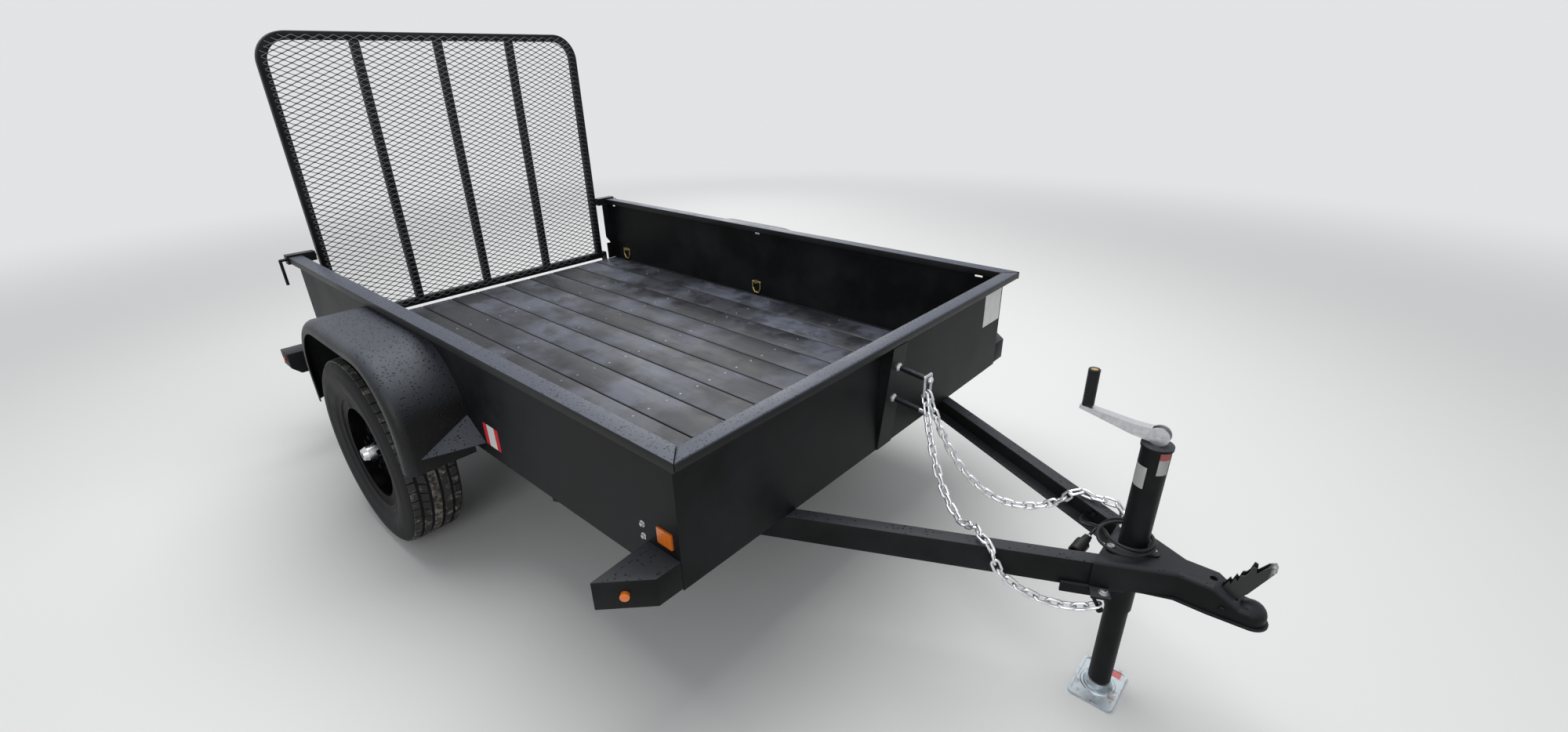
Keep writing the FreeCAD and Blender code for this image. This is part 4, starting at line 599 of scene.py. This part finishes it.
# The ramp gate: a bent square tube frame with three uprights, and expanded steel mesh welded over
# its front. The mesh is slit and stretched sheet, so each strand runs in a zigzag and meets the next
# at a flat knuckle.
MESH_LONG, MESH_SHORT, STRAND, KNUCKLE = 0.050, 0.023, 0.0031, 0.07
coat(BLACK_COAT, "gate_pins", "gate_lugs", "latch_tubes", "latch_pins")
for name in ("gate_frame", "gate_bars"):
    soften(name, 0.004, BLACK_COAT)
mesh_low, mesh_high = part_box("gate_mesh")
corner_round = 0.107
turns = math.ceil((mesh_high.y - mesh_low.y) / MESH_LONG)
strands = bmesh.new()
for row in range(int((mesh_high.z - mesh_low.z) / (MESH_SHORT / 2))):
    strip = bmesh.ops.create_grid(strands, x_segments=4 * turns, y_segments=1, size=0.5)["verts"]
    level = mesh_low.z + row * MESH_SHORT / 2
    for vertex in strip:
        step = round((vertex.co.x + 0.5) * 4 * turns)
        upper = vertex.co.y > 0
        along = step // 4 + (-KNUCKLE, KNUCKLE, 0.5 - KNUCKLE, 0.5 + KNUCKLE)[step % 4] + 0.5 * (row % 2)
        rise = (MESH_SHORT / 2 - STRAND * 0.85) if step % 4 > 1 else 0.0
        vertex.co = (mesh_low.x + (0.0006 if upper else 0.0021), mesh_low.y + (along - 0.5) * MESH_LONG,
                     level + rise + (STRAND if upper else 0.0))
outside = []
for face in strands.faces:
    middle = face.calc_center_median()
    reach_y = min(middle.y - mesh_low.y, mesh_high.y - middle.y)
    reach_z = min(middle.z - mesh_low.z, mesh_high.z - middle.z)
    past = math.hypot(corner_round - reach_y, corner_round - reach_z) > corner_round
    if min(reach_y, reach_z) < 0.001 or (max(reach_y, reach_z) < corner_round and past):
        outside.append(face)
bmesh.ops.delete(strands, geom=outside, context="FACES")
bmesh.ops.solidify(strands, geom=strands.faces[:], thickness=0.0015)
# The strands' upward edges get a pale painted sheen, a painted highlight that makes them glint.
MESH_COAT = powder_coat("mesh powder coat", painted_sheen=(0.095, 0.100, 0.112), rain=0.0, peel=0.2, gloss=0.4)
new_piece("expanded_mesh", strands, MESH_COAT, ("gate_mesh",), body="gate", smooth=0.4)

# The fenders: sheet steel rolled over the wheels with a rounded outer shoulder and a pressed gusset
# at the front. Rain stands on them in close beads.
# Their tops get a pale bluish painted sheen, and the beads a near-black painted shade, so the drops read as
# dark specks on it.
FENDER_COAT = powder_coat("fender powder coat", painted_sheen=(0.052, 0.058, 0.072), rain=1.0, peel=0.6, drop=0.0078,
                          gloss=0.25, bead_shade=(0.004, 0.004, 0.005), steepest=-0.5)
coat(FENDER_COAT, "fender_right", "fender_left")

# The front wings: folded housings on the front corners, each with a small round amber lamp, and an
# amber reflector and two plated screws on the side panel above it.


def lens_plastic(name, tone):
    """Clear coloured plastic over fine moulded prisms."""
    made, tree, shader = blank_material(name)
    cloud = blotches(tree, 0.01, 0.3, 0.8)
    colour = blend_colours(tree, cloud, tone, tuple(c * 0.7 for c in tone))
    tree.links.new(colour, shader.inputs["Base Color"])
    tree.links.new(ramp(tree, cloud, 0.0, 1.0, 0.12, 0.22), shader.inputs["Roughness"])
    shader.inputs["Coat Weight"].default_value = 0.5
    prisms = add_node(tree, "ShaderNodeTexVoronoi", {"Vector": own_place(tree), "Scale": 300.0,
                                                     "Randomness": 0.0})
    height = prisms.outputs["Distance"]
    bump = add_node(tree, "ShaderNodeBump", {"Strength": 0.5, "Distance": 0.001, "Height": height})
    tree.links.new(bump.outputs[0], shader.inputs["Normal"])
    return made


def hex_head(radius, height, washer=0.0):
    """A bolt's head with its top edge turned off, on a washer if that has a radius."""
    shape = bmesh.new()
    up = 0.0016 if washer else 0.0
    bmesh.ops.create_cone(shape, cap_ends=True, segments=6, radius1=radius, radius2=radius, depth=height,
                          matrix=Matrix.Translation((0, 0, up + height / 2)))
    top = [e for e in shape.edges if min(v.co.z for v in e.verts) > up + height * 0.9]
    ease(shape, top, height * 0.2)
    if washer:
        join_into(shape, turned(((radius * 0.5, 0), (washer, 0), (washer, 0.0012), (washer * 0.97, up),
                                 (radius * 0.5, up)), 24))
    return shape


AMBER = lens_plastic("amber lens", (0.80, 0.19, 0.015))
coat(AMBER, "marker_lamps", "side_reflectors")
soften("marker_housings", 0.003, BLACK_COAT)
ZINC = zinc("bright zinc")
wing_screws = bmesh.new()
for side in (-1, 1):
    for height in (0.557, 0.592):
        place = (panel_x - 0.129, side * 0.795, height)
        join_into(wing_screws, set_down(hex_head(0.0055, 0.005, 0.009), place, (0, side, 0)))
new_piece("wing_screws", wing_screws, ZINC)

# The wheels: pressed steel discs and rims in gloss black with a chromed hub cap, each held by five
# nuts. The tyre is turned as one carcass, with five ribs of siped blocks set round its tread.
TYRE_MIDDLE, DISC_FACE, NUT_CIRCLE = 0.906, 0.0420, 0.057
BLOCK_FOOT, BLOCK_TOP, SHOULDER_DROP, BLOCKS_ROUND = 0.3330, 0.3422, 0.0032, 60
wheel_low, wheel_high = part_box("tyre_right")
axle_at = Vector(((wheel_low.x + wheel_high.x) / 2, 0, wheel_high.z / 2))
RUBBER = rubber("tyre rubber", (0.012, 0.012, 0.013), 0.72)


def gloss_black():
    """Wheel enamel: smooth gloss black with a little road dust."""
    made, tree, shader = blank_material("gloss black enamel")
    dust = blotches(tree, 0.09, 0.5, 0.8)
    colour = blend_colours(tree, dust, (0.004, 0.004, 0.005), (0.022, 0.020, 0.018))
    tree.links.new(colour, shader.inputs["Base Color"])
    tree.links.new(ramp(tree, dust, 0.0, 1.0, 0.22, 0.50), shader.inputs["Roughness"])
    shader.inputs["IOR"].default_value = 1.05
    return made


ENAMEL = gloss_black()
coat(ENAMEL, "wheel_right", "wheel_left")


def worn_tread():
    """Tread rubber with pale sand pressed into it, thickest along the middle rib."""
    made, tree, shader = blank_material("sandy tread")
    part = add_node(tree, "ShaderNodeSeparateXYZ", {0: own_place(tree)})
    side = reckon(tree, "ABSOLUTE", part.outputs[1])
    across = reckon(tree, "ABSOLUTE", reckon(tree, "SUBTRACT", side, TYRE_MIDDLE))
    middle = ramp(tree, across, 0.016, 0.024, 0.75, 0.0)
    sand = blotches(tree, 0.018, 0.42, 0.62)
    lumps = blotches(tree, 0.045, 0.52, 0.60)
    held = reckon(tree, "MULTIPLY", reckon(tree, "ADD", middle, lumps, use_clamp=True), sand)
    share = reckon(tree, "MULTIPLY", held, 0.8)
    colour = blend_colours(tree, share, (0.017, 0.017, 0.018), (0.30, 0.27, 0.22))
    tree.links.new(colour, shader.inputs["Base Color"])
    tree.links.new(ramp(tree, held, 0.0, 1.0, 0.55, 0.9), shader.inputs["Roughness"])
    tree.links.new(skin_bump(tree, 700.0, 0.4, 0.0006), shader.inputs["Normal"])
    return made


def hub_finish():
    """The hub's black flange, its chromed grease cap and the rubber plug in the middle of the cap."""
    made, tree, shader = blank_material("hub and cap")
    apart = add_node(tree, "ShaderNodeVectorMath", {0: own_place(tree), 1: axle_at}, operation="SUBTRACT")
    flat = add_node(tree, "ShaderNodeVectorMath", {0: apart.outputs[0], 1: (1, 0, 1)}, operation="MULTIPLY")
    out = add_node(tree, "ShaderNodeVectorMath", {0: flat.outputs[0]}, operation="LENGTH").outputs["Value"]
    cap = ramp(tree, out, 0.0340, 0.0325)
    plug = ramp(tree, out, 0.0125, 0.0118)
    plated = reckon(tree, "SUBTRACT", cap, plug)
    dust = blotches(tree, 0.02, 0.4, 0.8)
    bright = blend_colours(tree, dust, (0.72, 0.73, 0.75), (0.50, 0.50, 0.50))
    colour = blend_colours(tree, plated, (0.006, 0.006, 0.007), bright)
    tree.links.new(colour, shader.inputs["Base Color"])
    tree.links.new(plated, shader.inputs["Metallic"])
    tree.links.new(ramp(tree, dust, 0.0, 1.0, 0.14, 0.34), shader.inputs["Roughness"])
    shader.inputs["Specular IOR Level"].default_value = 0.25
    return made


TREAD = worn_tread()
coat(hub_finish(), "hub_right", "hub_left")
# The carcass from bead to tread, as (radius, distance from the tyre's middle).
half_section = ((0.1965, 0.0690), (0.2020, 0.0775), (0.2110, 0.0800), (0.2125, 0.0790), (0.2260, 0.0850),
                (0.2270, 0.0862), (0.2310, 0.0870), (0.2320, 0.0862), (0.2500, 0.0915), (0.2680, 0.0940),
                (0.2695, 0.0950), (0.2840, 0.0958), (0.2980, 0.0948), (0.3000, 0.0936), (0.3120, 0.0915),
                (0.3220, 0.0880), (0.3300, 0.0835), (0.3340, 0.0780), (0.3350, 0.0700), (0.3350, 0.0300))
outline = [*half_section, *[(radius, -out) for radius, out in reversed(half_section)]]
nut_profile = ((0.0035, 0), (0.0118, 0), (0.0118, 0.003), (0.0100, 0.006), (0.0095, 0.018), (0.0060, 0.021),
               (0.0035, 0.021))
# Each tread row's place across the tyre, and its blocks' width, length and slant.
tread_rows = ((0.0665, 0.0205, 0.0310, 0.0000), (0.0345, 0.0230, 0.0330, 0.0060),
              (0.0, 0.0250, 0.0345, 0.0000), (-0.0345, 0.0230, 0.0330, -0.0060),
              (-0.0665, 0.0205, 0.0310, 0.0000))
for side, name in ((-1, "right"), (1, "left")):
    middle = axle_at + Vector((0, side * TYRE_MIDDLE, 0))
    wheel = "wheel_" + name
    carcass = set_down(turned(outline, 96), middle, (0, side, 0))
    new_piece("tyre_carcass_" + name, carcass, RUBBER, ("tyre_" + name,), body=wheel, smooth=0.5)
    blocks = bmesh.new()
    for row, (out, width, length, slant) in enumerate(tread_rows):
        for index in range(BLOCKS_ROUND):
            turn = Matrix.Rotation(math.tau * (index + 0.5 * (row % 2)) / BLOCKS_ROUND, 4, "Z")
            block = bmesh.ops.create_cube(blocks, size=1.0)["verts"]
            for vertex in block:
                drop = SHOULDER_DROP if row in (0, 4) and vertex.co.z * out > 0 else 0.0
                radius = BLOCK_TOP - drop if vertex.co.x > 0 else BLOCK_FOOT
                along = vertex.co.y * length + vertex.co.z * slant * 2
                vertex.co = (radius, along, out + vertex.co.z * width)
            bmesh.ops.transform(blocks, matrix=turn, verts=block)
    tops = [e for e in blocks.edges if min(math.hypot(v.co.x, v.co.y) for v in e.verts) > 0.338]
    ease(blocks, tops, 0.0011, 1)
    set_down(blocks, middle, (0, side, 0))
    new_piece("tyre_tread_" + name, blocks, TREAD, body=wheel, smooth=0.5)
    nuts = bmesh.new()
    for index in range(5):
        angle = math.tau * (index + 0.25) / 5
        place = Vector((NUT_CIRCLE * math.cos(angle), side * DISC_FACE, NUT_CIRCLE * math.sin(angle)))
        join_into(nuts, set_down(turned(nut_profile, 6), middle + place, (0, side, 0)))
    new_piece("wheel_nuts_" + name, nuts, ENAMEL, body=wheel, smooth=0.5)

# The leaf springs: flat steel leaves, rolled at their ends and clamped to the axle. They have the
# same coat as the frame, but duller and dustier, with no rain on it.
# Their level faces still get a faint painted sheen.
SPRING = powder_coat("spring steel coat", tone=(0.018, 0.017, 0.017), dust=(0.055, 0.050, 0.045),
                     painted_sheen=(0.06, 0.055, 0.05), rain=0.0, peel=0.6)
coat(SPRING, "leaf_springs")

# The tongue: two channels and a pressed coupler with its latch lever. The coupler has a smoother coat than
# the frame, with a fainter painted sheen on its tops that reads as a deeper black; the lever's tip is worn
# to bright steel.


def lever_steel():
    """Black stamped steel, rubbed bright at the tip of the lever."""
    made, tree, shader = blank_material("lever steel")
    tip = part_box("coupler_latch")[1].x
    part = add_node(tree, "ShaderNodeSeparateXYZ", {0: own_place(tree)})
    near = ramp(tree, part.outputs[0], tip - 0.012, tip - 0.003)
    scuff = blotches(tree, 0.006, 0.3, 0.6)
    wear_and_sheen = reckon(tree, "MULTIPLY", near, scuff)
    colour = blend_colours(tree, wear_and_sheen, (0.012, 0.012, 0.013), (0.55, 0.55, 0.56))
    tree.links.new(colour, shader.inputs["Base Color"])
    tree.links.new(wear_and_sheen, shader.inputs["Metallic"])
    tree.links.new(ramp(tree, scuff, 0.0, 1.0, 0.34, 0.5), shader.inputs["Roughness"])
    return made


COUPLER_COAT = powder_coat("coupler powder coat", painted_sheen=(0.030, 0.032, 0.036), rain=0.3, peel=0.2,
                           drop=0.007)
coat(COUPLER_COAT, "coupler")
coat(lever_steel(), "coupler_latch")
for name in ("tongue_rail_left", "tongue_rail_right"):
    soften(name, 0.002, BLACK_COAT)

# The parking jack: a steel tube on a three-bolt flange with a sliding leg inside it, a plated foot
# plate, and a plated crank with a ribbed rubber grip over a brass-capped pin. Blank stickers are on
# the tube and the foot plate.
RIBS, RIB_PITCH = 15, 0.0056
coat(BLACK_COAT, "jack_tube", "jack_leg")
coat(ZINC, "jack_bolts", "jack_crank")
coat(zinc("foot zinc", (0.56, 0.62, 0.66), 0.34, 0.82, 0.6), "jack_foot")
GRIP = rubber("ribbed grip", (0.012, 0.012, 0.013), 0.5)
grip_low, grip_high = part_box("crank_grip")
ribs = [(0.0078, 0.0), (0.0120, 0.0), (0.0135, 0.0015)]
for index in range(RIBS):
    height = 0.004 + index * RIB_PITCH
    ribs += [(0.0133, height), (0.0133, height + 0.0032)]
    ribs += [(0.0122, height + 0.0040), (0.0122, height + 0.0048)]
ribs += [(0.0135, 0.0885), (0.0135, 0.0905), (0.0122, 0.0920), (0.0078, 0.0920)]
grip_at = Vector(((grip_low.x + grip_high.x) / 2, 0, grip_low.z))
grip = set_down(turned(ribs, 28), grip_at, (0, 0, 1), (1, 0, 0))
new_piece("ribbed_grip", grip, GRIP, ("crank_grip",), body="jack_crank", smooth=0.5)
BRASS = zinc("brass cap", (0.55, 0.38, 0.14), 0.35)
cap = turned(((0.0, 0.0860), (0.0090, 0.0860), (0.0090, 0.0908), (0.0082, 0.0916), (0.0, 0.0916)), 24)
set_down(cap, grip_at, (0, 0, 1), (1, 0, 0))
new_piece("grip_cap", cap, BRASS, body="jack_crank", smooth=0.5)


def tube_label(name, start, end, low, high, material):
    """A blank sticker bent round the jack's tube, between two angles and two heights."""
    radius = 0.0324
    shape = bmesh.new()
    bmesh.ops.create_grid(shape, x_segments=12, y_segments=1, size=0.5)
    for vertex in shape.verts:
        angle = math.radians(start + (end - start) * (vertex.co.x + 0.5))
        height = low + (high - low) * (vertex.co.y + 0.5)
        vertex.co = (wound_at.x + radius * math.cos(angle), radius * math.sin(angle), height)
    bmesh.ops.solidify(shape, geom=shape.faces[:], thickness=0.0003)
    new_piece(name, shape, material)


PALE_RED = (0.64, 0.17, 0.16)
RED_TOP = label_stock("red topped label", ((2, 0.735, 0.751),), PALE_RED)
tube_label("jack_label_rear", -163, -97, 0.654, 0.710, PLAIN_LABEL)
tube_label("jack_label_front", -62, -14, 0.696, 0.753, RED_TOP)
foot_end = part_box("jack_foot")[1]
FOOT_LABEL = label_stock("foot plate label", ((0, foot_end.x - 0.046, foot_end.x - 0.014),), PALE_RED)
sticker("foot_label", (foot_end.x - 0.050, 0.047, 0.0065), (foot_end.x - 0.010, 0.068, 0.0065), (0, 0, 1),
        FOOT_LABEL, body="jack_leg")

# The safety chains: round zinc-plated wire bent into links and butt-welded. They hang from a shackle
# that a nut keeps on the upper spare-wheel stud, and the right one is bolted through its strap.
coat(ZINC, "chain_shackle", "spare_studs")
coat(BLACK_COAT, "stud_sleeves")
upper_stud = max(loose_solids("spare_studs"), key=lambda corners: max(corner.z for corner in corners))
stud_end = max(corner.x for corner in upper_stud)
tips = [corner for corner in upper_stud if corner.x > stud_end - 0.003]
roots = [corner for corner in upper_stud if corner.x < stud_end - 0.100]
tip, root = (sum(corners, Vector()) / len(corners) for corners in (tips, roots))
along = (tip - root).normalized()
new_piece("shackle_nut", set_down(hex_head(0.0105, 0.008), tip - along * 0.009, along), ZINC)

below_ear, ear_top = 0.360, 0.400
strap_bolts = bmesh.new()
for corners in loose_solids("chain_eyes"):
    shank = [corner for corner in corners if corner.z < below_ear]
    if shank:
        at = sum(shank, Vector()) / len(shank)
        head = set_down(hex_head(0.0085, 0.006, 0.012), (at.x, at.y, ear_top), (0, 0, 1), (1, 0, 0))
        join_into(strap_bolts, head)
new_piece("strap_bolt", strap_bolts, ZINC)

# Each link's place and axes are read from its solid's corners, with the shortest axis first.
CHAIN_ZINC = zinc("chain zinc", (0.86, 0.88, 0.90), 0.26, 0.80)
for name in ("safety_chain_right", "safety_chain_left"):
    links = bmesh.new()
    for corners in loose_solids(name):
        points = numpy.array([tuple(corner) for corner in corners])
        centre = points.mean(axis=0)
        axes = numpy.linalg.eigh(numpy.cov((points - centre).T))[1]
        across = (points - centre) @ axes
        thick, wide, long = across.max(axis=0) - across.min(axis=0)
        wire = thick * 0.53
        ring = bmesh.new()
        section = Matrix.Translation((wide / 2 - wire, 0, 0)) @ Matrix.Rotation(math.pi / 2, 4, "X")
        around = bmesh.ops.create_circle(ring, segments=8, radius=wire, matrix=section)["verts"]
        bmesh.ops.spin(ring, geom=around + ring.edges[:], cent=(0, 0, 0), axis=(0, 0, 1), angle=math.tau,
                       steps=16, use_merge=True)
        half_step = Matrix.Rotation(math.tau / 32, 3, "Z")
        bmesh.ops.rotate(ring, cent=(0, 0, 0), matrix=half_step, verts=ring.verts)
        for vertex in ring.verts:
            vertex.co.x += math.copysign((long - wide) / 2, vertex.co.x)
        set_down(ring, Vector(centre), Vector(axes[:, 0]), Vector(axes[:, 2]))
        join_into(links, ring)
    new_piece("round_" + name, links, CHAIN_ZINC, (name,), smooth=1.2)

# The tail lamps: moulded red lenses with a round marker, set in boxes that are folded from sheet and
# welded beside the sill.
RED = lens_plastic("red lens", (0.5, 0.012, 0.01))
coat(RED, "tail_lamps")
soften("tail_boxes", 0.003, BLACK_COAT)

# The lashing rings: wire rings with a yellow plating, each held in a clip on the inner face of a
# side panel.
YELLOW = zinc("yellow zinc", (0.62, 0.48, 0.22), 0.32)
coat(YELLOW, "tie_down_rings")
